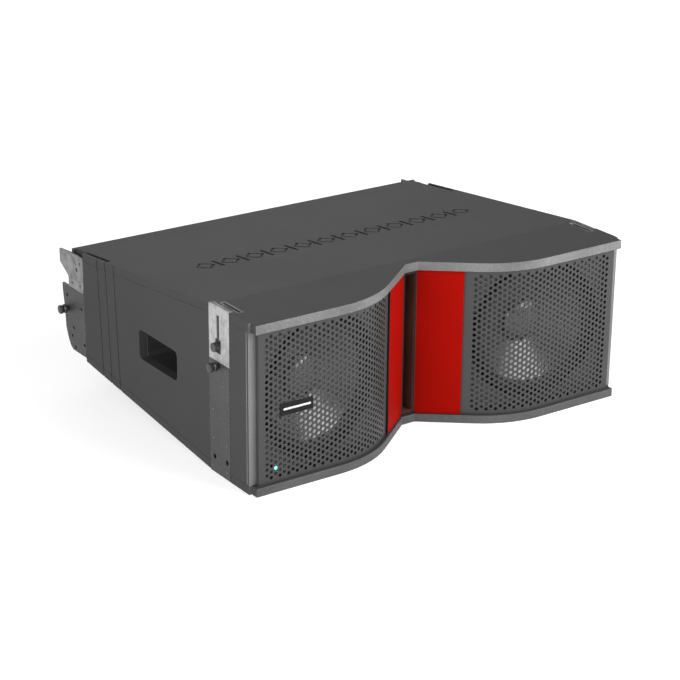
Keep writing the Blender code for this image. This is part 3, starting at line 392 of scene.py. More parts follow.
def make_windings():
    """Fine enamelled copper wire wound round the coil."""
    material, tree = start_material("wound_copper", Metallic=1.0)
    turns = waves_along(tree, "Y", 900.0)
    colours = blend_colour(tree, turns, (0.28, 0.10, 0.04, 1), (0.75, 0.36, 0.2, 1))
    return end_material(material, colours, remap(tree, turns, 0, 1, 0.4, 0.22), turns, 0.3, 0.0002)


def make_circuit_board():
    """Circuit board: green mask over a dim pattern of copper tracks."""
    material, tree = start_material("circuit_board_mask", Coat_Weight=0.3)
    tracks = add(tree, "ShaderNodeTexBrick", Vector=object_place(tree), Scale=60.0, Mortar_Size=0.05,
                 Color1=(0.012, 0.10, 0.04, 1), Color2=(0.010, 0.075, 0.03, 1),
                 Mortar=(0.03, 0.17, 0.07, 1)).outputs
    rough = remap(tree, tracks["Fac"], 0, 1, 0.45, 0.3)
    return end_material(material, tracks["Color"], rough, tracks["Fac"], 0.2, 0.0002)


def make_glow():
    """Lit lens: bright at its middle and fading to its rim."""
    material, tree = start_material("lit_lens", Emission_Strength=3.2, Roughness=0.25)
    where = add(tree, "ShaderNodeTexCoord").outputs["Generated"]
    middle = vector_math(tree, "DISTANCE", where, (0.5, 0.5, 0.5), "Value")
    colours = blend_colour(tree, remap(tree, middle, 0.6, 0.3), (0.05, 0.40, 0.46, 1),
                           (0.62, 0.97, 1.0, 1))
    feed(tree, tree.nodes["Principled BSDF"].inputs, Base_Color=colours, Emission_Color=colours)
    return material


def grey(level, blue=None):
    """A neutral colour, or one a touch colder or warmer where its blue is given."""
    return level, level, level if blue is None else blue


FINISH = {
    "black_painted_ply": painted("charcoal_paint_on_ply", grey(0.029, 0.0295), grey(0.046, 0.047),
        (0.12, 0.118, 0.115), fleck_share=0.6, grain=850, patches=0.05, rough=0.64, wear=0.35, dust=0.015,
        bump=0.35, gloss=0.12),
    "black_painted_steel": painted("charcoal_paint_on_steel", grey(0.019, 0.0195), grey(0.052), grey(0.22),
        fleck_share=0.7, grain=420, patches=0.2, rough=0.5, wear=0.7, dust=0.05, bump=0.6, metallic=0.1),
    "grey_paint": painted("grille_powder_coat", grey(0.0185, 0.019), grey(0.026, 0.027), grey(0.09),
        fleck_share=0.3, grain=1500, patches=0.06, wear=0.2, bump=0.12, coat=0.08),
    "red_painted_wood": painted("red_satin_paint", (0.22, 0.0018, 0.0003), (0.195, 0.0016, 0.0003),
        (0.17, 0.005, 0.002), fleck_share=0.25, grain=600, patches=0.05, rough=0.7, wear=0.25, bump=0.12,
        gloss=0.03),
    "brown_plastic": painted("dark_brown_moulding", (0.075, 0.026, 0.018), (0.1, 0.04, 0.03),
        fleck_share=0.4, grain=1100, rough=0.5, bump=0.2),
    "black_plastic": painted("black_moulding", grey(0.017, 0.018), grey(0.03, 0.031), grey(0.07),
        fleck_share=0.4, grain=1300, rough=0.42, dust=0.05),
    "bare_ply": make_birch(),
    "bright_steel": metal("zinc_plate", grey(0.35, 0.352), grey(0.2), worn=grey(0.55), bloom=0.6,
        rough=0.45, metallic=0.6),
    "dark_steel": metal("blackened_steel", grey(0.085, 0.09), grey(0.04, 0.042), worn=grey(0.35, 0.36),
        rough=0.4, metallic=0.85),
    "cast_metal": painted("basket_paint", grey(0.075, 0.078), grey(0.12, 0.125), grey(0.25),
        fleck_share=0.4, grain=700, rough=0.45, wear=0.4, dust=0.05, bump=0.35, metallic=0.4),
    "aluminium": metal("drawn_aluminium", grey(0.1, 0.105), grey(0.05), worn=grey(0.5), rough=0.38),
    "titanium": metal("spun_titanium", (0.42, 0.4, 0.38), (0.3, 0.28, 0.27), stretch=(1, 0.05, 1),
        scale=900, rough=0.3),
    "copper": make_windings(),
    "paper_pulp": make_cone_paper(),
    "treated_cloth": make_treated_cloth(),
    "rubber": painted("black_rubber", grey(0.034, 0.035), grey(0.06), fleck_share=0.3, patches=0.2,
        rough=0.55, dust=0.15, bump=0.2),
    "board_green": make_circuit_board(),
    "status_light": make_glow(),
}
# Painted light on the lips' front faces: greys lighter than the boards' for the light these faces catch,
# brighter on the top lip than on the bottom one.
TOP_LIP_PAINTED_LIGHT = painted("painted_light_top_lip", grey(0.105), grey(0.155, 0.153), grey(0.24, 0.235), fleck_share=0.8,
    grain=430, patches=0.22, rough=0.55, wear=0.4, bump=0.4, gloss=0.3)
LOWER_LIP_PAINTED_LIGHT = painted("painted_light_lower_lip", grey(0.046), grey(0.072, 0.071), grey(0.18, 0.175),
    fleck_share=0.8, grain=430, patches=0.22, rough=0.55, wear=0.6, bump=0.4, gloss=0.3)
# Painted light on the side panels' front faces: a grey lighter than the boards', as on the lips.
STILE_PAINTED_LIGHT = painted("painted_light_side_edge", grey(0.115), grey(0.15), grey(0.24), fleck_share=0.6, grain=700,
    rough=0.55, bump=0.4)
# Near-black for the flares' edges; on the front rails' forward faces it is painted shade.
FLARE_EDGE = painted("flare_edge_black", grey(0.018), grey(0.03), grain=700, patches=0.2)
# Painted light on the baffles: a grey lighter than the boards', so that the baffle seen through the grille's
# holes is as bright as the sheet in spite of the grille's shade.
BAFFLE_PAINTED_LIGHT = painted("baffle_paint", grey(0.105), grey(0.14), grain=500)
# Painted shade: a darker copy of the zinc plate, used on the rear rigging plates and in the slot liners.
SHADED_ZINC = metal("zinc_plate_painted_shade", grey(0.2, 0.201), grey(0.12), worn=grey(0.42), bloom=0.7, rough=0.5,
    metallic=0.6)
GASKET_BLACK = painted("gasket_black", grey(0.006), grey(0.012), fleck_share=0.4, grain=700, patches=0.2,
    rough=0.7, gloss=0.1)
BADGE_BLACK = painted("badge_black", grey(0.004), grey(0.008), fleck_share=0.3, grain=1500, patches=0.1,
    rough=0.5, gloss=0.15)
MOUTH_RIM = painted("mouth_rim_brown", (0.018, 0.008, 0.006), (0.03, 0.014, 0.01), fleck_share=0.4,
    grain=1100, gloss=0.15)
BADGE_SILVER = metal("badge_silver", grey(0.78), grey(0.62), stretch=(0.04, 1, 1), scale=1500, bloom=0.2,
    rough=0.28)
MARK_WHITE = painted("printed_white", grey(0.55, 0.54), grey(0.4, 0.39), fleck_share=0.2, grain=1800,
    patches=0.08, rough=0.5)
WINDOW_GLASS = painted("window_glass", (0.006, 0.008, 0.01), (0.01, 0.012, 0.015), fleck_share=0.2,
    grain=1800, patches=0.1, rough=0.12, coat=1.0)


# ---------------------------------------------------------------- mesh helpers

# Faces above this area, in square metres, keep their creases
WIDE_FACE = 0.004
FORWARD = Matrix.Rotation(math.radians(90), 4, "X")
BACKWARD = Matrix.Rotation(math.radians(-90), 4, "X")


def place(x, depth, level=0.0):
    """World place of a point given from the middle, behind the lips and above mid height."""
    return Vector((x, FRONT + depth, MIDDLE + level))


def centre_of(node):
    low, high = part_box(node)
    return (low + high) / 2


def at(x, y, z, turn):
    """Local frame at a point, with a turn."""
    return Matrix.Translation((x, y, z)) @ turn


def finish_piece(name, mesh, finish, body="cabinet", replaced=(), slot=None, smooth_angle=35):
    """Puts a mesh in the scene as one piece that rides on a body. A finish may be a slot's name."""
    if isinstance(mesh, bmesh.types.BMesh):
        mesh = as_mesh(name, mesh)
    piece = loose_object(name, mesh)
    if isinstance(finish, str):
        slot = finish
        finish = FINISH[slot]
    if not mesh.materials:
        mesh.materials.append(finish)
    if smooth_angle is not None:
        mesh.polygons.foreach_set("use_smooth", [True] * len(mesh.polygons))
        mesh.set_sharp_from_angle(angle=math.radians(smooth_angle))
    if body:
        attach(piece, body)
    if replaced:
        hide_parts(*replaced)
    return piece


def as_mesh(name, bm):
    bmesh.ops.recalc_face_normals(bm, faces=bm.faces)
    mesh = bpy.data.meshes.new(name)
    bm.to_mesh(mesh)
    bm.free()
    return mesh


def loose_object(name, mesh):
    obj = bpy.data.objects.new(name, mesh)
    bpy.context.scene.collection.objects.link(obj)
    return obj


def applied(obj):
    """The mesh that an object's modifiers make. The object is removed."""
    graph = bpy.context.evaluated_depsgraph_get()
    mesh = bpy.data.meshes.new_from_object(obj.evaluated_get(graph))
    mesh.name = obj.name
    bpy.data.objects.remove(obj)
    return mesh


def prism(bm, outline, low, high, matrix=Matrix.Identity(4)):
    """A closed prism over a flat outline of (u, v), from low to high along w."""
    rings = [[bm.verts.new(matrix @ Vector((u, v, w))) for u, v in outline] for w in (low, high)]
    bm.faces.new(rings[0][::-1])
    bm.faces.new(rings[1])
    count = len(outline)
    for i in range(count):
        j = (i + 1) % count
        bm.faces.new((rings[0][i], rings[0][j], rings[1][j], rings[1][i]))


def revolve(bm, profile, matrix=Matrix.Identity(4), segments=ROUND, closed=False, start=0.0, sweep=math.tau):
    """Sweeps (radius, height) points round the local Z axis. A point on the axis is one corner."""
    whole = abs(sweep - math.tau) < 1e-6
    turns = segments if whole else segments + 1
    rings = []
    for radius, height in profile:
        if radius < 1e-7:
            rings.append([bm.verts.new(matrix @ Vector((0, 0, height)))] * turns)
            continue
        angles = [start + sweep * step / segments for step in range(turns)]
        rings.append([bm.verts.new(matrix @ Vector((radius * math.cos(a), radius * math.sin(a), height)))
                      for a in angles])
    for lower, upper in zip(rings, rings[1:] + (rings[:1] if closed else [])):
        for i in range(segments):
            j = (i + 1) % turns
            corners = []
            for corner in (lower[i], lower[j], upper[j], upper[i]):
                if corner not in corners:
                    corners.append(corner)
            if len(corners) > 2:
                bm.faces.new(corners)
    if not whole and closed:
        for end in (0, -1):
            bm.faces.new([ring[end] for ring in rings])


def rounded_rectangle(width, height, corner, steps=5, centre=(0, 0)):
    """Outline of a rectangle with round corners."""
    points = []
    for turn, (su, sv) in enumerate(((1, 1), (-1, 1), (-1, -1), (1, -1))):
        u, v = centre[0] + su * (width / 2 - corner), centre[1] + sv * (height / 2 - corner)
        for step in range(steps + 1):
            angle = math.radians(90 * turn + 90 * step / steps)
            points.append((u + corner * math.cos(angle), v + corner * math.sin(angle)))
    return points


def bevelled(obj, width):
    """Rounds over an object's sharp edges."""
    bevel = obj.modifiers.new("Bevel", "BEVEL")
    bevel.width = width
    bevel.segments = 2
    bevel.limit_method = "ANGLE"
    bevel.angle_limit = math.radians(38)
    bevel.miter_outer = "MITER_ARC"
    return obj


def turned(name, profile, axis, finish, body="cabinet", replaced=(), slot=None, segments=ROUND, closed=False,
           smooth_angle=35):
    """A piece swept round an axis from (radius, height) points."""
    bm = bmesh.new()
    revolve(bm, profile, axis, segments, closed)
    return finish_piece(name, bm, finish, body, replaced, slot, smooth_angle)


def slab(name, outline, low, high, matrix, finish, body="cabinet", edge=0.0):
    """A flat piece over an outline, with its edges rounded over where edge is given."""
    bm = bmesh.new()
    prism(bm, outline, low, high, matrix)
    mesh = as_mesh(name, bm)
    if edge:
        mesh = applied(bevelled(loose_object(name, mesh), edge))
    return finish_piece(name, mesh, finish, body)


def clean_copy(node):
    """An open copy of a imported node's mesh with its flat faces whole again."""
    bm = bmesh.new()
    bm.from_mesh(frame["nodes"][node].data)
    bmesh.ops.remove_doubles(bm, verts=bm.verts, dist=0.00001)
    bmesh.ops.dissolve_limit(bm, angle_limit=math.radians(0.6), verts=bm.verts, edges=bm.edges)
    mesh = bpy.data.meshes.new(node + "_shape")
    bm.to_mesh(mesh)
    bm.free()
    return mesh


def flat_shaded(mesh):
    """The mesh with creases kept between wide faces, and wide faces shaded flat beside rounded edges."""
    mesh.polygons.foreach_set("use_smooth", [True] * len(mesh.polygons))
    mesh.set_sharp_from_angle(angle=math.radians(35))
    bm = bmesh.new()
    bm.from_mesh(mesh)
    for edge in bm.edges:
        if len(edge.link_faces) == 2 and min(face.calc_area() for face in edge.link_faces) > WIDE_FACE:
            edge.smooth = False
    bm.to_mesh(mesh)
    bm.free()
    obj = loose_object(mesh.name, mesh)
    weighted = obj.modifiers.new("Normals", "WEIGHTED_NORMAL")
    weighted.keep_sharp = True
    return applied(obj)


def soften(node, finish=None):
    """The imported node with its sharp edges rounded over, in place of the node."""
    kind = node.removesuffix("_left").removesuffix("_right")
    shape = bevelled(loose_object(node + "_finish", clean_copy(node)), EDGE_ROUND.get(kind, SOCKET_ROUND))
    slot = SLOT_OF[node]
    return finish_piece(shape.name, flat_shaded(applied(shape)), finish or FINISH[slot], BODY_OF[node],
                        (node,), slot, None)


def subtract(obj, cutter_mesh):
    """Cuts one mesh from an object's shape."""
    cutter = loose_object("cutter", cutter_mesh)
    modifier = obj.modifiers.new("Cut", "BOOLEAN")
    modifier.operation = "DIFFERENCE"
    modifier.solver = "EXACT"
    modifier.object = cutter
    mesh = applied(obj)
    bpy.data.objects.remove(cutter)
    return mesh


# ---------------------------------------------------------------- cabinet

def edge_depth(x, setback=0.0):
    """Depth of the front edge, or of a line set back behind it, at a distance from the middle."""
    x = abs(x)
    radius = SHOULDER_RADIUS - setback
    arc_end = SHOULDER_X - radius * math.sin(FLARE_ANGLE)
    if x >= SHOULDER_X:
        return setback
    if x >= arc_end:
        return SHOULDER_RADIUS - math.sqrt(radius ** 2 - (SHOULDER_X - x) ** 2)
    return SHOULDER_RADIUS - radius * math.cos(FLARE_ANGLE) + (arc_end - x) * math.tan(FLARE_ANGLE)


def coated_board(node, mesh, special, chosen, smooth_angle=None):
    """A finished board in place of a node, with a special finish on its chosen faces."""
    slot = SLOT_OF[node]
    plain = FLARE_EDGE if slot == "red_painted_wood" else FINISH[slot]
    recoat(mesh, plain, special, chosen)
    finish_piece(node + "_board", mesh, None, "cabinet", (node,), slot, smooth_angle)


def board_shape(node, cutter=None):
    """A loose copy of a board's shape, cut where a cutter is given."""
    shape = loose_object(node + "_board", clean_copy(node))
    return loose_object(shape.name, subtract(shape, cutter)) if cutter else shape


def make_panels():
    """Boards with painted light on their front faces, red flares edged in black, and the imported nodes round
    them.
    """
    for node, cutter, lip in (("top_panel", top_cutter(), TOP_LIP_PAINTED_LIGHT), ("bottom_panel", None, LOWER_LIP_PAINTED_LIGHT)):
        shape = bevelled(board_shape(node, cutter), LIP_ROUND)
        coated_board(node, flat_shaded(applied(shape)), lip, faces_front)
    for side in SIDES:
        shape = bevelled(board_shape(f"side_panel_{side}", stile_groove(side)), BOARD_ROUND)
        # The side panel's front faces take the lighter grey that is painted light.
        coated_board(f"side_panel_{side}", flat_shaded(applied(shape)), STILE_PAINTED_LIGHT, faces_front)
        soften(f"handle_cup_{side}")
        mesh = applied(bevelled(board_shape(f"horn_flare_{side}"), BOARD_ROUND))
        coated_board(f"horn_flare_{side}", mesh, FINISH["red_painted_wood"],
                     lambda face: face.normal.y < -0.7, 35)
        rail = soften(f"front_rail_{side}")
        # Painted shade: the rail's forward faces take the near-black of the flare edges, for the shaded gap
        # beside the side panel's front edge.
        recoat(rail.data, FINISH["black_painted_steel"], FLARE_EDGE, looks_forward)
        for node in ("front_rig_plate", "front_link", "rear_bracket"):
            soften(f"{node}_{side}")
        # The rear plates take the darker zinc, which is painted shade.
        soften(f"rear_rig_plate_{side}", SHADED_ZINC)
        soften(f"rear_link_{side}")
    soften("rear_panel")
    mouth = soften("waveguide_body")
    recoat(mouth.data, FINISH["brown_plastic"], MOUTH_RIM, looks_forward)
    soften("amp_plate")
    soften("amp_heat_sink")


def recoat(mesh, plain, special, chosen):
    """Two finishes on one mesh: the special one on the chosen faces."""
    mesh.materials.clear()
    mesh.materials.append(plain)
    mesh.materials.append(special)
    for face in mesh.polygons:
        face.material_index = int(chosen(face))


def looks_forward(face):
    """Whether a face looks to the front."""
    return face.normal.y < -0.4


def faces_front(face):
    """Whether a face of a board lies along its front edge."""
    return looks_forward(face) and abs(face.normal.z) < 0.5 and face.center.y < FRONT + FRONT_EDGE_REACH


def stile_groove(side):
    """Shallow upright groove just behind the side panel's front edge."""
    sign = SIDES[side]
    low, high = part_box(f"side_panel_{side}")
    face = max(abs(low.x), abs(high.x))
    bm = bmesh.new()
    outline = [(0.0040, -0.01), (0.0070, -0.01), (0.0064, 0.0015), (0.0046, 0.0015)]
    outline = [(sign * (face - v), low.y + u) for u, v in outline]
    prism(bm, outline, low.z - 0.01, high.z + 0.01)
    return as_mesh("stile_groove", bm)


def on_top(x, depth):
    """Frame whose Z stands square on the tapered top."""
    level = HALF_HEIGHT - (depth - LEVEL_DEPTH) * math.tan(TAPER)
    return Matrix.Translation(place(x, depth, level)) @ Matrix.Rotation(-TAPER, 4, "X")


def ring_prism(bm, outer, inner, low, high, matrix, rise=0.0):
    """A closed prism between two outlines with as many points each; its crown may rise inwards."""
    rings = [[bm.verts.new(matrix @ Vector((u, v, w))) for u, v in outline]
             for outline, w in ((outer, low), (outer, high), (inner, high + rise), (inner, low))]
    for a, b in zip(rings, rings[1:] + rings[:1]):
        for i in range(len(a)):
            j = (i + 1) % len(a)
            bm.faces.new((a[i], a[j], b[j], b[i]))


def link_slot_place(side):
    """Frame on the top in the middle of the lined slot."""
    return Matrix.Translation(place(SIDES[side] * (HALF_WIDTH - LINK_SLOT_INSET), LINK_SLOT_DEPTH,
                                    HALF_HEIGHT))


def top_cutter():
    """An engraved band of lozenges and bars across the top, and a slot near each of its side corners."""
    bm = bmesh.new()
    for index in range(LOZENGES):
        matrix = on_top(BAND_START + index * BAND_PITCH, BAND_DEPTH)
        outer, inner = ([(LOZENGE_X * k, 0), (0, LOZENGE_Y * k), (-LOZENGE_X * k, 0), (0, -LOZENGE_Y * k)]
                        for k in (1, 0.66))
        ring_prism(bm, outer, inner, -ENGRAVED, ABOVE, matrix)
        if index < LOZENGES - 1:
            matrix = on_top(BAND_START + (index + 0.5) * BAND_PITCH, BAND_DEPTH)
            prism(bm, rounded_rectangle(0.0062, 0.0440, 0.0030, 4), -ENGRAVED, ABOVE, matrix)
    for side, sign in SIDES.items():
        matrix = on_top(sign * (HALF_WIDTH - REAR_SLOT_INSET), REAR_SLOT_END - REAR_SLOT_LENGTH / 2)
        prism(bm, rounded_rectangle(0.0072, REAR_SLOT_LENGTH, 0.002, 4), -0.008, ABOVE, matrix)
        prism(bm, rounded_rectangle(*LINK_SLOT_SIZE, 0.001, 3), -0.009, ABOVE, link_slot_place(side))
    return as_mesh("top_cutter", bm)


def make_slot_liner(side):
    """Thin steel lining of the slot beside a front rigging plate."""
    width, length = LINK_SLOT_SIZE
    outer = rounded_rectangle(width, length, 0.001, 3)
    inner = rounded_rectangle(width - 2 * LINER_SHEET, length - 2 * LINER_SHEET, 0.0004, 3)
    bm = bmesh.new()
    ring_prism(bm, outer, inner, -0.0088, -0.0001, link_slot_place(side))
    # The liner's darker zinc is painted shade inside the slot.
    finish_piece(f"link_slot_liner_{side}", bm, SHADED_ZINC, slot="bright_steel")


# ---------------------------------------------------------------- grilles

def grille_bends(inner, setback):
    """Radius of the grille's shoulder, and where along its face the shoulder starts and ends."""
    radius = SHOULDER_RADIUS - setback
    start = (SHOULDER_X - radius * math.sin(FLARE_ANGLE) - inner) / math.cos(FLARE_ANGLE)
    return radius, start, start + radius * FLARE_ANGLE


def grille_station(s, inner, setback):
    """Distance from the middle and depth at a distance along the grille's face."""
    radius, start, end = grille_bends(inner, setback)
    if s < start:
        x = inner + s * math.cos(FLARE_ANGLE)
        return x, edge_depth(x, setback)
    if s < end:
        angle = FLARE_ANGLE - (s - start) / radius
        return SHOULDER_X - radius * math.sin(angle), SHOULDER_RADIUS - radius * math.cos(angle)
    return SHOULDER_X + s - end, setback


def make_grille(side):
    """Curved sheet with a hexagonal field of round holes inside a plain margin."""
    sign = SIDES[side]
    low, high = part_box(f"grille_{side}")
    inner, outer = sorted((abs(low.x), abs(high.x)))
    setback = low.y - FRONT
    bottom, top = low.z - MIDDLE, high.z - MIDDLE
    light_x = -centre_of("status_light").x
    light_z = centre_of("status_light").z - MIDDLE
    bend = grille_bends(inner, setback)[2]
    length = bend + outer - SHOULDER_X
    light_s = bend + light_x - SHOULDER_X
    first = math.ceil((INNER_MARGIN + HOLE_RADIUS - light_s) / COLUMN_PITCH)
    last = math.floor((length - OUTER_MARGIN - HOLE_RADIUS - light_s) / COLUMN_PITCH)
    step = HOLE_PITCH / 4
    lowest = math.ceil((bottom - light_z) / step + 0.3)
    highest = math.floor((top - light_z) / step - 0.3)

    bm = bmesh.new()
    corners, folds = {}, {}

    def corner(s, z):
        key = (round(s * 1e6), round(z * 1e6))
        if key not in corners:
            x, depth = grille_station(s, inner, setback)
            corners[key] = bm.verts.new((sign * x, FRONT + depth, MIDDLE + z))
        return corners[key]

    def folded(z):
        if z not in folds:
            folds[z] = bm.verts.new((sign * outer, FRONT + SIDE_SETBACK - 0.0003, MIDDLE + z))
        return folds[z]

    def quad(s0, s1, z0, z1):
        bm.faces.new((corner(s0, z0), corner(s1, z0), corner(s1, z1), corner(s0, z1)))

    levels = [bottom, *(light_z + k * step for k in range(lowest, highest + 1)), top]
    column_edges = [light_s + (c - 0.5) * COLUMN_PITCH for c in range(first, last + 2)]
    for start, stop in ((0.0, column_edges[0]), (column_edges[-1], length)):
        parts = max(2, round((stop - start) / 0.0045))
        for i in range(parts):
            s0, s1 = start + (stop - start) * i / parts, start + (stop - start) * (i + 1) / parts
            for z0, z1 in zip(levels, levels[1:]):
                quad(s0, s1, z0, z1)
    for column in range(first, last + 1):
        centre = light_s + column * COLUMN_PITCH
        near, far = centre - COLUMN_PITCH / 2, centre + COLUMN_PITCH / 2
        shift = 2 * (column % 2)
        rows = [k for k in range(lowest + 2, highest - 1)
                if (k - shift) % 4 == 0 and bottom + GRILLE_MARGIN + HOLE_RADIUS <= light_z + k * step
                <= top - GRILLE_MARGIN - HOLE_RADIUS]
        for k in rows:
            z = light_z + k * step
            rim = [(far, 0), (far, 1), (far, 2), (centre, 2), (near, 2), (near, 1), (near, 0), (near, -1),
                   (near, -2), (centre, -2), (far, -2), (far, -1)]
            rim = [corner(s, light_z + (k + dz) * step) for s, dz in rim]
            hole = [corner(centre + HOLE_RADIUS * math.cos(a), z + HOLE_RADIUS * math.sin(a))
                    for a in (math.tau * i / HOLE_SIDES for i in range(HOLE_SIDES))]
            for i in range(HOLE_SIDES):
                j = (i + 1) % HOLE_SIDES
                bm.faces.new((rim[i], rim[j], hole[j], hole[i]))
        solid = [z for z in levels if z < light_z + (rows[0] - 2 + 0.5) * step]
        crown = [z for z in levels if z > light_z + (rows[-1] + 2 - 0.5) * step]
        for run in (solid, crown):
            for z0, z1 in zip(run, run[1:]):
                quad(near, centre, z0, z1)
                quad(centre, far, z0, z1)
    for z0, z1 in zip(levels, levels[1:]):
        bm.faces.new((corner(length, z0), corner(length, z1), folded(z1), folded(z0)))
    bmesh.ops.recalc_face_normals(bm, faces=bm.faces)
    bm.normal_update()
    if sum(face.normal.y * face.calc_area() for face in bm.faces) > 0:
        bmesh.ops.reverse_faces(bm, faces=bm.faces)
    mesh = bpy.data.meshes.new(f"perforated_grille_{side}")
    bm.to_mesh(mesh)
    bm.free()
    obj = loose_object(mesh.name, mesh)
    thick = obj.modifiers.new("Sheet", "SOLIDIFY")
    thick.thickness = GRILLE_SHEET
    thick.offset = -1
    thick.use_even_offset = True
    finish_piece(f"perforated_grille_{side}", applied(obj), "grey_paint", "cabinet", (f"grille_{side}",))


def make_badge():
    """Small raised plate on the left grille with one plain silver bar, and the lit lens below it."""
    soften("badge_plate", BADGE_BLACK)
    low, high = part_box("badge_plate")
    width, height = high.x - low.x, high.z - low.z
    matrix = at((low.x + high.x) / 2, low.y, (low.z + high.z) / 2, FORWARD)
    bar = rounded_rectangle(width * 0.84, height * 0.17, height * 0.08, 4, (0, height * 0.02))
    slab("badge_bar", bar, -0.0002, 0.0006, matrix, BADGE_SILVER, edge=0.0003)

    low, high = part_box("status_light")
    middle, depth, radius = (low + high) / 2, high.y - low.y, (high.x - low.x) / 2
    dome = [(radius * math.cos(a), -0.0015 + 0.0014 * math.sin(a))
            for a in (math.radians(15 * step) for step in range(6))]
    bm = bmesh.new()
    revolve(bm, [(0, -depth), (radius, -depth), *dome, (0, -0.0001)], at(middle.x, low.y, middle.z, FORWARD),
            32)
    mesh = as_mesh("status_lens", bm)
    recoat(mesh, FINISH["black_plastic"], FINISH["status_light"], lambda face: face.center.y < low.y + 0.0014)
    finish_piece("status_lens", mesh, None, "cabinet", ("status_light",), "status_light")


# ---------------------------------------------------------------- drivers

def woofer_axis(side):
    """Local frame of a woofer: its Z points out through the grille."""
    return (Matrix.Translation(place(SIDES[side] * WOOFER_X, WOOFER_DEPTH))
            @ Matrix.Rotation(-SIDES[side] * TOE_IN, 4, "Z") @ FORWARD)


def cone_profile():
    """Front then back of a ribbed, slightly flared cone, as (radius, height)."""
    rim, neck, count = (0.0975, -0.0085), (0.0268, -0.0499), 48
    front = []
    for step in range(count + 1):
        share = step / count
        radius = rim[0] + (neck[0] - rim[0]) * share
        height = rim[1] + (neck[1] - rim[1]) * (share + 0.055 * math.sin(math.pi * share))
        rib = 0.00055 * max(0.0, math.sin(share * math.tau * 5.0 - 0.6)) ** 3 * math.sin(math.pi * share)
        front.append((radius, height + rib))
    return front + [(radius, height - 0.0012) for radius, height in front[::-1]]


def flexing_ring(name, profile, side, node):
    """A soft ring in sectors, each a piece of its own in place of the node, with its place baked into its
    mesh.
    """
    axis = woofer_axis(side)
    sweep = math.tau / SECTORS
    for sector in range(SECTORS):
        bm = bmesh.new()
        start = math.tau * sector / SECTORS
        revolve(bm, profile, axis, ROUND // SECTORS, True, start, sweep)
        piece = finish_piece(f"{name}_{side}_{sector:02d}", bm, SLOT_OF[node], None, (node,),
                             smooth_angle=60)
        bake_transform(piece)


def make_woofer(side):
    """Cone, dust cap, half-roll surround, corrugated spider, gasket and bolts."""
    axis = woofer_axis(side)
    body = f"cone_{side}"
    turned(f"ribbed_cone_{side}", cone_profile(), axis, "paper_pulp", body, (f"woofer_cone_{side}",),
           closed=True, smooth_angle=60)

    rim, rise, crest = 0.0370, 0.0120, -0.0300
    dome = [(rim * math.sin(a), crest - rise + rise * math.cos(a))
            for a in (math.radians(5 * step) for step in range(19))]
    foot = [(rim, crest - rise - 0.0008), (rim - 0.0020, crest - rise - 0.0008)]
    under = [(r * 0.97, z - 0.0010) for r, z in dome[-2::-1]]
    turned(f"domed_dust_cap_{side}", dome + foot + under, axis, "paper_pulp", body, (f"dust_cap_{side}",),
           smooth_angle=60)

    near, far, level, cloth = 0.0978, 0.1102, -0.0085, 0.0009
    centre, roll = (near + far) / 2, (far - near) / 2
    over, under = ([(centre - r * math.cos(a), level + r * math.sin(a))
                    for a in (math.radians(12 * step) for step in range(16))] for r in (roll, roll - cloth))
    flexing_ring("surround_roll", over + under[::-1], side, f"woofer_surround_{side}")

    near, far, level = 0.0265, 0.0600, -0.0750
    waves = [(near + (far - near) * step / 30, level + 0.0012 * math.sin(step * math.tau / 5))
             for step in range(31)]
    flexing_ring("spider_cloth", waves + [(r, z - 0.0006) for r, z in waves[::-1]], side,
                 f"woofer_spider_{side}")

    gasket = [(0.1120, 0.0017), (0.1120, 0.0030), (0.1126, GASKET_FACE), (0.1232, GASKET_FACE),
              (0.1238, 0.0030), (0.1238, 0.0017)]
    turned(f"woofer_gasket_{side}", gasket, axis, GASKET_BLACK, slot="rubber", closed=True)
    bm = bmesh.new()
    for bolt in range(BOLTS):
        angle = math.tau * (bolt + 0.5) / BOLTS
        spot = (BOLT_CIRCLE * math.cos(angle), BOLT_CIRCLE * math.sin(angle), GASKET_FACE)
        socket_head(bm, axis @ Matrix.Translation(spot), 0.0036, 0.0024)
    finish_piece(f"woofer_bolts_{side}", bm, "dark_steel")


def socket_head(bm, matrix, radius, height):
    """A round bolt head with a rounded rim and a six-sided socket."""
    revolve(bm, [(0, -0.0002), (radius, -0.0002), (radius, height * 0.8), (radius * 0.9, height),
                 (radius * 0.5, height)], matrix, 24)
    hexagon = [(radius * 0.5, height), (radius * 0.5, height * 0.45), (0, height * 0.4)]
    revolve(bm, hexagon, matrix, 24)
    bmesh.ops.remove_doubles(bm, verts=bm.verts, dist=0.000001)


def make_hidden_parts():
    """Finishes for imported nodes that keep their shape."""
    for node, obj in frame["nodes"].items():
        if obj.hide_render:
            continue
        obj.data.materials.clear()
        # Baffles take the lighter grey that is painted light.
        obj.data.materials.append(BAFFLE_PAINTED_LIGHT if node.startswith("baffle_") else FINISH[SLOT_OF[node]])


# ---------------------------------------------------------------- flying hardware

# Outline of a turned grip with a waist behind its cap, as shares of its radius and length
KNOB = ((0.62, 0.0), (0.62, 0.12), (0.95, 0.16), (1.0, 0.24), (1.0, 0.42), (0.86, 0.50), (0.86, 0.62),
        (1.0, 0.70), (1.0, 0.88), (0.93, 0.965), (0.75, 1.0), (0.0, 1.0))
PIN_SHAFT = 0.004
KNOB_START = 0.002


def outward(side):
    """Turn that makes Z look out of the cabinet's side."""
    return Matrix.Rotation(SIDES[side] * math.radians(90), 4, "Y")


